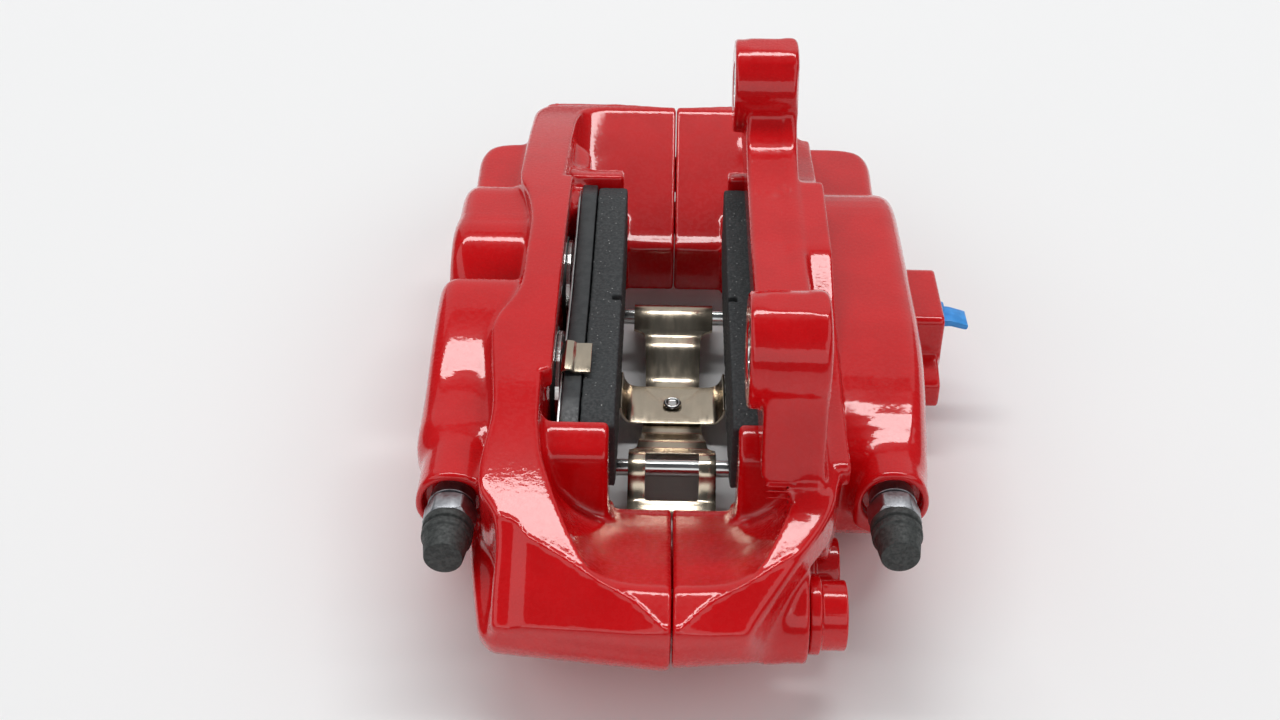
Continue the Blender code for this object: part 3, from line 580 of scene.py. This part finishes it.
def outboard_casting():
    clay = lump(OUTBOARD_REACH, RIM_HEIGHT)
    half_shell(clay, outboard_plan())
    blended(clay, flared_skirt(), 3.0)
    hollow(clay)
    blended(clay, outboard_bosses(), 3.5)
    abutments(clay)
    clay.keep(parting_face, 1.1)
    drill(clay, -1)
    bleed_hole(clay, -1)
    within_box(clay, OUTBOARD_REACH - 0.2, RIM_HEIGHT - 0.1)
    return fired(clay, -1, "outboard_casting")


def ear_outline(end):
    """(y, z) outline of the mounting flange from its middle out to one ear."""
    arc = []
    for degrees in range(125, -16, -10):
        a = math.radians(degrees)
        arc.append((EAR[0] + EAR_RADIUS * math.cos(a), EAR[1] + EAR_RADIUS * math.sin(a)))
    inner = fillet([(0.0, 40.0), (0.0, SADDLE_Z), (34.0, SADDLE_Z + 0.8), (52.0, SADDLE_Z + 4.0),
                    (60.0, SADDLE_Z + 11.0), arc[0]], 7.0)[12:-6]
    outer = [(EAR[0] + EAR_RADIUS + 1.0, 74.0), (EAR[0] + 21.0, 58.0), (EAR[0] + 25.0, 50.0)]
    return [(end * y, z) for y, z in [(0.0, SADDLE_Z)] + inner + arc + outer]


def flange_outline(foot):
    far = ear_outline(1)
    near = ear_outline(-1)
    return far + list(reversed(foot)) + list(reversed(near[1:]))


def mounting_flange(clay):
    face, web, back, ledge = FLANGE_X
    foot = [(-100.0, 44.0), (-60.0, 50.0), (60.0, 50.0), (100.0, 44.0)]
    outline = flange_outline(foot)
    high_foot = [(-97.0, 57.5), (97.0, 57.5)]
    upper = flange_outline(high_foot)
    clay.add(prism_x(outline, 34.8, back, 1.6), 6.0, (30, -110, 36), (45, 110, 102))
    clay.add(prism_x(upper, web, back, 1.8), 2.0, (20, -105, 54), (41, 105, 102))
    middle = [(-RELIEF_HALF_LENGTH, 50.0), (-RELIEF_HALF_LENGTH, 57.2), (-60.0, 57.4), (-44.0, 59.6),
              (-22.0, 65.0), (-4.0, SADDLE_Z), (37.0, SADDLE_Z + 0.4), (37.6, 66.0), (56.0, 60.5),
              (76.0, 57.6), (92.0, 56.0), (92.0, 50.0)]
    clay.add(prism_x(fillet(middle, 3.0), back - 6.0, ledge + 0.6, 1.0), 1.2, (32, -94, 46), (50, 96, 74))
    for end in SIDES:
        y = end * EAR[0]
        clay.add(rod_x(y, EAR[1], EAR_RADIUS, face, back, 1.2), 1.5, (17, y - 18, 66), (41, y + 18, 102))


def inboard_plan():
    taper = [(-20.0, 160.0), (16.0, 160.0), (19.0, 136.2), (25.0, 128.0), (32.0, 118.0), (41.0, 104.0),
             (46.0, 84.0)]
    return fillet(taper + [(x, -y) for x, y in reversed(taper)], 6.0)


def relief_space(x, y, z):
    """Clearance over the rim's outer side for the ear bolts' heads."""
    outside = (FLANGE_X[2] - 1.0) - x
    floor = 57.3 - z
    return np.maximum(np.maximum(outside, floor), np.abs(y) - RELIEF_HALF_LENGTH)


def bolt_seats(clay):
    """Recesses in the half's ends that the bridge bolts' heads sit in."""
    for end in SIDES:
        outline = fillet([(81.0, -20.0), (170.0, -20.0), (170.0, 42.0), (104.0, 42.0), (100.0, 33.0),
                          (81.0, 33.0)], 3.0)
        outline = [(end * y, z) for y, z in outline]
        clay.cut(prism_x(outline, BOLT_SEAT_X, 120.0), 1.2)


def bolt_bosses(clay):
    for end in SIDES:
        y, z = end * BOLT_AXES[0][0], BOLT_AXES[0][1]
        clay.add(rod_x(y, z, 12.8, 24.0, BOLT_SEAT_X, 0.8), 3.0, (18, y - 16, z - 16), (40, y + 16, z + 16))


def body_end(x, y, z):
    """Outside face of the inboard block, drawn in towards the near end."""
    return x - BODY_REACH + 0.0016 * np.clip(-8.0 - y, 0.0, None) ** 2 + 0.0 * z


def above_ledge(x, y, z):
    """Space beside the flange, over the inboard block's inner part."""
    return (x - FLANGE_X[3]) + 0.0 * y + np.where(z > 50.0, 0.0, 50.0 - z)


def inboard_body():
    """Block around the inboard bores, with the bleeder's boss, the shoulder and the fluid inlet."""
    body = lump(INLET_FACE_X, EAR_TOP)
    outline = [(-77, 34), (-72, 14), (-40, 3), (40, 3), (58, 10), (64, 30), (63, 50), (52, 57.5), (-30, 58.5),
               (-62, 55), (-76, 46)]
    body.add(prism_x(fillet(outline, 14.0), 34.0, BODY_REACH, 9.0))
    body.keep(body_end, 6.0)
    bleed_boss(body, 1, 6.0)
    far_block(body, 68.0, 33.0)
    inlet = fillet([(4.5, 20.0), (35.5, 20.0), (35.5, 39.5), (4.5, 39.5)], 3.0)
    body.add(prism_x(inlet, 60.0, INLET_FACE_X, 1.0), 2.0, (58, 0, 16), (90, 40, 44))
    fin = fillet([(-7.0, 13.0), (6.0, 13.0), (12.0, 24.0), (4.0, 26.0), (-7.0, 22.0)], 2.0)
    body.add(prism_x(fin, 60.0, INLET_FACE_X - 1.0, 1.0), 2.0, (58, -12, 8), (90, 18, 30))
    body.cut(above_ledge, 2.5, (30, -110, 50), (50, 110, 66))
    return body


def inboard_casting():
    clay = lump(INLET_FACE_X, EAR_TOP)
    half_shell(clay, inboard_plan())
    bolt_seats(clay)
    clay.cut(relief_space, 1.0, (36, -96, 50), (50, 96, 70))
    hollow(clay)
    bolt_bosses(clay)
    blended(clay, inboard_body(), 1.6)
    mounting_flange(clay)
    pad_cavity(clay)
    abutments(clay)
    clay.keep(parting_face, 1.1)
    drill(clay, 1)
    bleed_hole(clay, 1)
    within_box(clay, INLET_FACE_X, EAR_TOP - 0.1)
    for end in SIDES:
        y = end * EAR[0]
        clay.cut(rod_x(y, EAR[1], EAR_HOLE_RADIUS, 0.0, 60.0), 0.8, (0, y - 10, 75), (60, y + 10, 95))
    y, z = INLET
    clay.cut(rod_x(y, z, 5.3, 74.0, 100.0), 0.8, (72, y - 8, z - 8), (100, y + 8, z + 8))
    return fired(clay, 1, "inboard_casting")


# ----------------------------------------------------------- small parts

def solid(name, loops):
    """Skin equal-count loops of millimetre points and cap both ends."""
    bm = bmesh.new()
    rings = []
    for loop in loops:
        rings.append([bm.verts.new(((x + PARTING_X) * MM, y * MM, z * MM)) for x, y, z in loop])
    for first, second in zip(rings, rings[1:]):
        for i, vert in enumerate(first):
            j = (i + 1) % len(first)
            bm.faces.new((vert, first[j], second[j], second[i]))
    bm.faces.new(rings[0])
    bm.faces.new(list(reversed(rings[-1])))
    bmesh.ops.recalc_face_normals(bm, faces=bm.faces)
    mesh = bpy.data.meshes.new(name)
    bm.to_mesh(mesh)
    bm.free()
    piece = bpy.data.objects.new(name, mesh)
    bpy.context.scene.collection.objects.link(piece)
    return piece


def plate_x(name, outline, low, high):
    return solid(name, [[(x, y, z) for y, z in outline] for x in (low, high)])


def plate_y(name, outline, low, high):
    return solid(name, [[(x, y, z) for x, z in outline] for y in (low, high)])


def plate_z(name, outline, low, high):
    return solid(name, [[(x, y, z) for x, y in outline] for z in (low, high)])


def circle(count=72):
    return [(math.cos(2 * math.pi * i / count), math.sin(2 * math.pi * i / count)) for i in range(count)]


def turned(name, axis, centre, profile, rounding=0.35):
    """Turn (place, radius) steps about a line along X, Y or Z, with softened edges."""
    first, last = profile[0][0], profile[-1][0]
    closed = [(first, 0.05)] + list(profile) + [(last, 0.05)]
    soft = fillet(closed, rounding, 4)[4:-4]
    u, v = centre
    places = {
        "x": lambda place, a, b: (place, u + a, v + b),
        "y": lambda place, a, b: (u + a, place, v + b),
        "z": lambda place, a, b: (u + a, v + b, place),
    }
    return solid(name, [[places[axis](place, r * a, r * b) for a, b in circle()] for place, r in soft])


def merge(target, tool, operation):
    change = target.modifiers.new("merge", "BOOLEAN")
    change.operation = operation
    change.solver = "EXACT"
    change.object = tool
    settle(target)
    bpy.data.objects.remove(tool, do_unlink=True)
    return target


def soften(piece, width, segments=2):
    """Bevel the sharp edges and shade the rest smooth."""
    bevel = piece.modifiers.new("bevel", "BEVEL")
    bevel.width = width * MM
    bevel.segments = segments
    bevel.limit_method = "ANGLE"
    bevel.angle_limit = math.radians(35.0)
    settle(piece)
    piece.data.shade_smooth()
    piece.data.set_sharp_from_angle(angle=math.radians(38.0))
    return piece


def hexagon(reach):
    return [(reach * math.cos(math.pi * i / 3.0), reach * math.sin(math.pi * i / 3.0)) for i in range(6)]


def bolt_piece(y, z):
    seat = BOLT_SEAT_X + GAP
    rim_x = seat + BOLT_FLANGE_HEIGHT
    profile = [(-30.0, BOLT_RADIUS - 1.0), (-29.0, BOLT_RADIUS), (seat, BOLT_RADIUS),
               (seat, BOLT_FLANGE_RADIUS), (rim_x, BOLT_FLANGE_RADIUS), (rim_x, BOLT_HEAD_RADIUS),
               (rim_x + BOLT_HEAD_HEIGHT, BOLT_HEAD_RADIUS)]
    bolt = turned("bolt", "x", (y, z), profile, 0.7)
    socket = [(y + a, z + b) for a, b in hexagon(BOLT_SOCKET)]
    merge(bolt, plate_x("socket", socket, seat + 4.0, seat + 12.0), "DIFFERENCE")
    return soften(bolt, 0.25)


def screw_piece(side):
    y = BLEED_FACES[side] + 3.7
    x = side * BLEED[0]
    stem = [(y + 16.5, 2.6), (y + 15.0, 3.9), (y, 3.9), (y, 6.0), (y - 4.9, 6.6), (y - 4.9, 5.2),
            (y - 12.1, 5.2), (y - 12.1, 3.5), (y - 18.5, 3.0), (y - 19.0, 3.9), (y - 20.6, 3.9)]
    screw = turned("screw", "y", (x, BLEED[1]), stem, 0.3)
    flats = [(x + a, BLEED[1] + b) for a, b in hexagon(BLEEDER_HEX_REACH)]
    nut = plate_y("nut", flats, y - 11.9, y - 5.7)
    chamfer = [(y - 5.7, 6.5), (y - 6.3, 7.2), (y - 11.3, 7.2), (y - 11.9, 6.5)]
    merge(nut, turned("chamfer", "y", (x, BLEED[1]), chamfer, 0.1), "INTERSECT")
    return soften(merge(screw, nut, "UNION"), 0.2)


def cap_piece(side):
    start = BLEED_FACES[side] - 8.5
    outside = [(start - 0.1, 4.4), (start, 6.9), (start - 2.3, 6.9), (start - 2.6, 6.1), (start - 3.3, 6.1),
               (start - 3.6, 6.85), (start - 5.4, 6.75), (start - 5.8, 6.2), (start - 12.4, 5.2)]
    cap = turned("cap", "y", (side * BLEED[0], BLEED[1]), outside, 0.3)
    inside = [(start + 1.0, 4.2), (start - 10.6, 4.2)]
    bore = turned("cap_bore", "y", (side * BLEED[0], BLEED[1]), inside, 0.2)
    return soften(merge(cap, bore, "DIFFERENCE"), 0.15)


def pin_piece(end):
    profile = [(-47.0, 2.0), (-46.2, 2.6), (36.0, 2.6), (37.0, 3.0), (42.0, 3.0), (42.0, 2.5), (43.5, 2.5),
               (43.5, 3.0), (49.9, 2.6)]
    return soften(turned("pin", "x", (end * PIN[0], PIN[1]), profile, 0.4), 0.1)


def insert_piece(end):
    face, back = FLANGE_X[0], FLANGE_X[2]
    y, z = end * EAR[0], EAR[1]
    ring = turned("insert", "x", (y, z), [(face + 0.3, 7.2), (back - 0.4, 7.2)], 0.5)
    bore = turned("insert_bore", "x", (y, z), [(face - 3.0, 5.3), (back + 3.0, 5.3)], 0.1)
    return soften(merge(ring, bore, "DIFFERENCE"), 0.5)


def pad_outline(inset, foot):
    end = PAD_HALF_LENGTH - inset
    top = [(end, 51.0 - inset), (55.5, 53.0 - inset), (0.0, 50.0 - inset), (-55.5, 53.0 - inset),
           (-end, 51.0 - inset)]
    half = [(20.0, 21.0), (44.0, 21.5), (end - 6.0, 25.0), (end, 28.0)]
    if foot == "plate":
        half = [(8.0, 11.0), (12.0, 9.0), (32.0, 8.0), (35.0, 6.6), (45.0, 6.6), (47.0, 9.0), (51.0, 15.0),
                (end, 21.0)]
    return [(-y, z) for y, z in reversed(half)] + half + top


def sheet_piece(side, name, inset, low, high, edge):
    outline = fillet(pad_outline(inset, "plate"), 1.2, 4)
    low, high = sorted((side * low, side * high))
    sheet = plate_x(name, outline, low, high)
    for end in SIDES:
        through = [(low - 3.0, PAD_HOLE_RADIUS), (high + 3.0, PAD_HOLE_RADIUS)]
        merge(sheet, turned("hole", "x", (end * PIN[0], PIN[1]), through, 0.1), "DIFFERENCE")
    return soften(sheet, edge)


def block_piece(side):
    """Moulded lining: torn, pitted and rounded where it was pressed."""
    clay = Clay((PAD_FACE_X, -65.4, 20.0), (LINING_BACK_X, 65.4, 53.0), LINING_GRID_STEP)
    clay.add(prism_x(fillet(pad_outline(0.6, "block"), 1.0, 3), PAD_FACE_X, LINING_BACK_X, 0.7))
    clay.cut(slab((10.0, -1.0, 10.0), (PAD_FACE_X + 3.0, 1.0, 70.0)), 0.3)
    pits = np.random.default_rng(5 + side).normal(0.0, 1.0, clay.field.shape).astype(np.float32)
    for axis in range(3):
        pits = (np.roll(pits, 1, axis) + 2.0 * pits + np.roll(pits, -1, axis)) / 4.0
    clay.field = clay.field + 0.10 + 0.30 * np.clip(pits, -0.3, 0.3)
    return fired(clay, side, "lining_block", MOST_LINING_TRIANGLES)


def clip_piece(side):
    under = [(24.3, 52.8), (29.2, 52.8), (30.2, 53.7), (31.6, 53.9), (32.3, 53.1), (32.3, 52.7)]
    over = [(33.0, 52.7), (33.0, 53.6), (31.9, 54.7), (29.8, 54.4), (28.9, 53.6), (24.3, 53.6)]
    outline = [(side * x, z) for x, z in under + over]
    return soften(plate_y("clip", fillet(outline, 0.35, 4), -44.5, -30.5), 0.12)


def bent_strip(name, path, across, half_width):
    """Spring sheet bent along a softened path in one plane, extruded to both sides of it."""
    soft = fillet(path, 2.2, 6)[6:-6]
    soft = [path[0]] + soft + [path[-1]]
    upper, lower = [], []
    for i, point in enumerate(soft):
        along = (Vector(soft[min(i + 1, len(soft) - 1)]) - Vector(soft[max(i - 1, 0)])).normalized()
        shift = Vector((-along.y, along.x)) * (0.5 * LEAF_THICKNESS)
        upper.append(tuple(Vector(point) + shift))
        lower.append(tuple(Vector(point) - shift))
    return across(name, upper + list(reversed(lower)), -half_width, half_width)


def riveted(leaf):
    """Pierce a spring leaf for the rivet and soften its edges."""
    through = [(0.0, RIVET_HOLE_RADIUS), (20.0, RIVET_HOLE_RADIUS)]
    merge(leaf, turned("rivet_hole", "z", (0.0, 0.0), through, 0.1), "DIFFERENCE")
    return soften(leaf, 0.14)


def long_leaf_piece():
    half = [(14.0, 5.4), (20.0, 8.4), (25.0, 12.0), (31.0, 12.6), (36.0, 16.2), (40.0, 17.5), (44.0, 16.0),
            (45.6, 12.4), (49.0, 8.8), (54.0, 8.2)]
    path = [(-y, z) for y, z in reversed(half)] + [(0.0, 5.2)] + half
    leaf = bent_strip("long_leaf", path, plate_x, LONG_LEAF_HALF_WIDTH)
    window = fillet([(-8.2, -50.0), (8.2, -50.0), (8.2, -36.0), (-8.2, -36.0)], 1.0)
    merge(leaf, plate_z("window", window, 0.0, 30.0), "DIFFERENCE")
    for side in SIDES:
        waist = fillet([(side * 11.0, -30.0), (side * 8.6, 0.0), (side * 9.4, 31.0), (side * 20.0, 34.5),
                        (side * 20.0, -34.0)], 2.0)
        merge(leaf, plate_z("waist", waist, 0.0, 30.0), "DIFFERENCE")
    return riveted(leaf)


def cross_leaf_piece():
    half = [(12.0, 6.4), (14.6, 7.2), (16.2, 9.6), (16.8, 12.6)]
    path = [(-x, z) for x, z in reversed(half)] + half
    leaf = bent_strip("cross_leaf", path, plate_y, CROSS_LEAF_HALF_WIDTH)
    return riveted(leaf)


def rivet_piece():
    profile = [(3.4, 2.2), (4.4, 3.0), (4.4, 1.6), (7.1, 1.6), (7.1, 3.0), (7.7, 2.9), (8.1, 2.2), (7.6, 1.5),
               (7.5, 0.4)]
    return soften(turned("rivet", "z", (0.0, 0.0), profile, 0.3), 0.08)


def plug_piece():
    face = INLET_FACE_X + GAP
    profile = [(76.0, 3.6), (77.0, 4.4), (face, 4.9), (face + 1.3, 4.9)]
    plug = turned("plug", "x", INLET, profile, 0.4)
    outline = [(face + 0.5, 29.8), (face + 3.7, 30.0), (95.9, 28.6), (96.4, 30.4), (face + 3.7, 32.2),
               (face + 0.5, 32.4)]
    tab = plate_y("tab", fillet(outline, 0.8, 4), INLET[0] - 4.2, INLET[0] + 4.2)
    return soften(merge(plug, tab, "UNION"), 0.3)


def small_pieces():
    """Every small part that shows: (piece, slot, body, CAD node)."""
    made = []
    for side, word in ((-1, "outboard"), (1, "inboard")):
        pad = "pad_" + word
        made.append((screw_piece(side), "grey_zinc", "bleeder_screw_" + word, "bleeder_screw_" + word))
        made.append((cap_piece(side), "black_rubber", "bleeder_cap_" + word, "bleeder_cap_" + word))
        made.append((block_piece(side), "friction_lining", pad, "friction_block_" + word))
        made.append((clip_piece(side), "gold_zinc", pad, "wear_clip_" + word))
        plate = sheet_piece(side, "plate", 0.0, PLATE_FRONT_X, PLATE_BACK_X, 0.5)
        made.append((plate, "plate_coating", pad, "backing_plate_" + word))
        shim = sheet_piece(side, "shim", 1.2, SHIM_FRONT_X, SHIM_BACK_X, 0.15)
        made.append((shim, "shim_steel", pad, "damping_shim_" + word))
    for end, word in ((-1, "near"), (1, "far")):
        made.append((pin_piece(end), "bright_steel", "pad_pin_" + word, "pad_pin_" + word))
        made.append((insert_piece(end), "bright_steel", "caliper", "ear_insert_" + word))
        for (y, z), place in zip(BOLT_AXES, ("outer", "inner")):
            name = "bridge_bolt_%s_%s" % (word, place)
            made.append((bolt_piece(end * y, z), "red_paint", "caliper", name))
    made.append((long_leaf_piece(), "gold_zinc", "caliper", "spring_long_leaf"))
    made.append((cross_leaf_piece(), "gold_zinc", "caliper", "spring_cross_leaf"))
    made.append((rivet_piece(), "bright_steel", "caliper", "spring_rivet"))
    made.append((plug_piece(), "blue_plastic", "transit_plug", "transit_plug"))
    return made


# -------------------------------------------------------------- materials

def new_material(name, colour, roughness, metallic):
    material = bpy.data.materials.new(name)
    material.use_nodes = True
    shader = material.node_tree.nodes["Principled BSDF"]
    shader.inputs["Base Color"].default_value = (*colour, 1.0)
    shader.inputs["Roughness"].default_value = roughness
    shader.inputs["Metallic"].default_value = metallic
    return material


def node(material, kind, **values):
    made = material.node_tree.nodes.new(kind)
    for key, value in values.items():
        if key in made.inputs:
            made.inputs[key].default_value = value
        else:
            setattr(made, key, value)
    return made


def link(material, source, target):
    material.node_tree.links.new(source, target)


def speckle(material, size, detail=2.0, stretch=(1.0, 1.0, 1.0)):
    """Noise whose features are about `size` millimetres across."""
    place = node(material, "ShaderNodeTexCoord")
    scale = node(material, "ShaderNodeMapping")
    scale.inputs["Scale"].default_value = stretch
    noise = node(material, "ShaderNodeTexNoise", Scale=1.0 / (size * MM), Detail=detail)
    link(material, place.outputs["Object"], scale.inputs["Vector"])
    link(material, scale.outputs["Vector"], noise.inputs["Vector"])
    return noise.outputs["Fac"]


def spread(material, value, low, high, bottom=0.35, top=0.65):
    """Map noise to a range."""
    ramp = node(material, "ShaderNodeMapRange")
    for name, number in (("From Min", bottom), ("From Max", top), ("To Min", low), ("To Max", high)):
        ramp.inputs[name].default_value = number
    link(material, value, ramp.inputs["Value"])
    return ramp.outputs["Result"]


def two_tone(material, value, first, second, bottom=0.4, top=0.6):
    """Colour that runs from first to second with the value."""
    ramp = node(material, "ShaderNodeValToRGB")
    ramp.color_ramp.elements[0].position = bottom
    ramp.color_ramp.elements[0].color = (*first, 1.0)
    ramp.color_ramp.elements[1].position = top
    ramp.color_ramp.elements[1].color = (*second, 1.0)
    link(material, value, ramp.inputs["Fac"])
    shader = material.node_tree.nodes["Principled BSDF"]
    link(material, ramp.outputs["Color"], shader.inputs["Base Color"])


def roughen(material, value, low, high):
    shader = material.node_tree.nodes["Principled BSDF"]
    link(material, spread(material, value, low, high), shader.inputs["Roughness"])


def relief(material, layers, into=("Normal",)):
    """Bump from noise layers, each (value, height in millimetres)."""
    shader = material.node_tree.nodes["Principled BSDF"]
    previous = None
    for value, height in layers:
        bump = node(material, "ShaderNodeBump")
        bump.inputs["Strength"].default_value = 1.0
        bump.inputs["Distance"].default_value = height * MM
        link(material, value, bump.inputs["Height"])
        if previous is not None:
            link(material, previous.outputs["Normal"], bump.inputs["Normal"])
        previous = bump
    for name in into:
        link(material, previous.outputs["Normal"], shader.inputs[name])


def red_paint():
    material = new_material("red_paint", (0.50, 0.004, 0.006), 0.3, 0.0)
    shader = material.node_tree.nodes["Principled BSDF"]
    shader.inputs["Coat Weight"].default_value = 0.8
    shader.inputs["Coat Roughness"].default_value = 0.04
    shader.inputs["Specular IOR Level"].default_value = 0.12
    two_tone(material, speckle(material, 12.0, 2.0), (0.56, 0.0030, 0.005), (0.60, 0.0036, 0.006))
    roughen(material, speckle(material, 1.5), 0.22, 0.32)
    layers = [(speckle(material, 14.0, 1.0), 0.03), (speckle(material, 1.3, 2.0), 0.022),
              (speckle(material, 0.5, 2.0), 0.002)]
    relief(material, layers, ("Normal", "Coat Normal"))
    return material


def brushed(name, colour, low, high, size, stretch):
    material = new_material(name, colour, 0.3, 1.0)
    lines = speckle(material, size, 3.0, stretch)
    darker = tuple(0.90 * c for c in colour)
    two_tone(material, lines, darker, colour, 0.3, 0.7)
    roughen(material, lines, low, high)
    relief(material, [(lines, 0.0015), (speckle(material, 6.0, 1.0), 0.02)])
    return material


def black_rubber():
    material = new_material("black_rubber", (0.03, 0.033, 0.032), 0.6, 0.0)
    two_tone(material, speckle(material, 1.2, 3.0), (0.022, 0.025, 0.024), (0.045, 0.05, 0.048))
    roughen(material, speckle(material, 0.7), 0.5, 0.75)
    relief(material, [(speckle(material, 0.4, 3.0), 0.008), (speckle(material, 5.0, 1.0), 0.02)])
    return material


def friction_lining():
    material = new_material("friction_lining", (0.04, 0.045, 0.047), 0.85, 0.0)
    flecks = node(material, "ShaderNodeTexVoronoi", Scale=1.0 / (1.8 * MM))
    place = node(material, "ShaderNodeTexCoord")
    link(material, place.outputs["Object"], flecks.inputs["Vector"])
    two_tone(material, flecks.outputs["Distance"], (0.55, 0.56, 0.55), (0.034, 0.039, 0.041), 0.05, 0.12)
    roughen(material, speckle(material, 0.8, 3.0), 0.6, 0.95)
    relief(material, [(speckle(material, 0.8, 4.0), 0.3), (speckle(material, 2.5, 2.0), 0.2)])
    return material


def plate_coating():
    material = new_material("plate_coating", (0.02, 0.024, 0.026), 0.4, 0.0)
    two_tone(material, speckle(material, 3.0, 3.0), (0.016, 0.02, 0.022), (0.03, 0.035, 0.037))
    roughen(material, speckle(material, 0.9), 0.32, 0.5)
    relief(material, [(speckle(material, 0.8, 2.0), 0.02), (speckle(material, 8.0, 1.0), 0.04)])
    return material


def blue_plastic():
    material = new_material("blue_plastic", (0.03, 0.30, 0.78), 0.35, 0.0)
    two_tone(material, speckle(material, 4.0, 2.0), (0.025, 0.26, 0.70), (0.04, 0.34, 0.85))
    roughen(material, speckle(material, 0.8), 0.28, 0.42)
    relief(material, [(speckle(material, 0.6, 2.0), 0.01), (speckle(material, 5.0, 1.0), 0.03)])
    return material


def make_materials():
    return {
        "red_paint": red_paint(),
        "bright_steel": brushed("bright_steel", (0.66, 0.66, 0.65), 0.14, 0.26, 0.5, (0.1, 1.0, 1.0)),
        "grey_zinc": brushed("grey_zinc", (0.36, 0.37, 0.39), 0.3, 0.48, 0.6, (1.0, 0.6, 1.0)),
        "shim_steel": brushed("shim_steel", (0.50, 0.50, 0.50), 0.25, 0.4, 0.5, (1.0, 0.1, 1.0)),
        "gold_zinc": brushed("gold_zinc", (0.62, 0.53, 0.41), 0.18, 0.26, 0.9, (0.5, 0.12, 0.12)),
        "black_rubber": black_rubber(),
        "friction_lining": friction_lining(),
        "plate_coating": plate_coating(),
        "blue_plastic": blue_plastic(),
    }


def dress(piece, materials, slot):
    piece.data.materials.clear()
    piece.data.materials.append(materials[slot])


# ----------------------------------------------------------------- scene

INNER_SLOTS = (("piston_seal", "black_rubber"), ("dust_boot", "black_rubber"), ("crossover", "black_rubber"),
               ("piston", "bright_steel"))


def inner_slot(node_name):
    """Finish of a part inside the caliper, which keeps its CAD shape."""
    return next(slot for word, slot in INNER_SLOTS if node_name.startswith(word))


def build_pieces(materials):
    castings = [(outboard_casting(), "red_paint", "caliper", "outboard_half"),
                (inboard_casting(), "red_paint", "caliper", "inboard_half")]
    for piece, slot, body, replaced in castings + small_pieces():
        dress(piece, materials, slot)
        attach(piece, body)
        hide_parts(replaced)
    for name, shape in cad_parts.items():
        if not shape.hide_render:
            shape.data.materials.clear()
            shape.data.materials.append(materials[inner_slot(name)])


def camera():
    """The view that the caliper is known from: above, from its near end."""
    place = Vector((-15.9, -413.0, 333.6)) * MM
    yaw, pitch, roll = -0.0166868, 0.6417930, 0.0094157
    ahead = Vector((math.sin(yaw) * math.cos(pitch), math.cos(yaw) * math.cos(pitch), -math.sin(pitch)))
    right = Vector((math.cos(yaw), -math.sin(yaw), 0.0))
    up = right.cross(ahead)
    turned_right = right * math.cos(roll) + up * math.sin(roll)
    turned_up = up * math.cos(roll) - right * math.sin(roll)
    data = bpy.data.cameras.new("camera")
    data.lens = 45.0
    data.sensor_width = 36.0
    data.clip_start = 0.01
    seen = bpy.data.objects.new("camera", data)
    bpy.context.scene.collection.objects.link(seen)
    matrix = Matrix((turned_right, turned_up, -ahead)).transposed().to_4x4()
    matrix.translation = place
    seen.matrix_world = matrix
    bpy.context.scene.camera = seen


def area_light(name, elevation, azimuth, distance, width, height, power):
    """Softbox aimed at the caliper from an elevation and azimuth (0 is from behind it, +Y)."""
    data = bpy.data.lights.new(name, "AREA")
    data.shape = "RECTANGLE"
    data.size = width
    data.size_y = height
    data.energy = power
    box = bpy.data.objects.new(name, data)
    bpy.context.scene.collection.objects.link(box)
    a, e = math.radians(azimuth), math.radians(elevation)
    direction = Vector((math.sin(a) * math.cos(e), math.cos(a) * math.cos(e), math.sin(e)))
    target = Vector((0.0, 0.0, 0.04))
    box.location = target + direction * distance
    box.rotation_euler = direction.to_track_quat("Z", "Y").to_euler()


def studio():
    bm = bmesh.new()
    bmesh.ops.create_grid(bm, x_segments=1, y_segments=1, size=12.0)
    mesh = bpy.data.meshes.new("floor")
    bm.to_mesh(mesh)
    bm.free()
    floor = bpy.data.objects.new("floor", mesh)
    bpy.context.scene.collection.objects.link(floor)
    paper = new_material("paper", (0.88, 0.88, 0.88), 0.8, 0.0)
    mesh.materials.append(paper)
    world = bpy.data.worlds.new("studio")
    world.use_nodes = True
    world.node_tree.nodes["Background"].inputs["Color"].default_value = (0.9, 0.95, 1.0, 1.0)
    world.node_tree.nodes["Background"].inputs["Strength"].default_value = 0.10
    bpy.context.scene.world = world
    area_light("back_wall", 27.0, 0.0, 3.0, 5.0, 2.8, 20.0)
    area_light("top_box", 68.0, 0.0, 3.0, 3.75, 0.40, 62.0)
    area_light("left_box", 40.0, -110.0, 3.0, 4.0, 1.6, 22.0)
    area_light("right_box", 40.0, 110.0, 3.0, 4.0, 1.6, 22.0)
    area_light("front_box", 28.0, 180.0, 3.5, 6.0, 1.6, 34.0)
    bpy.context.scene.view_settings.view_transform = "Standard"


build_pieces(make_materials())
camera()
studio()
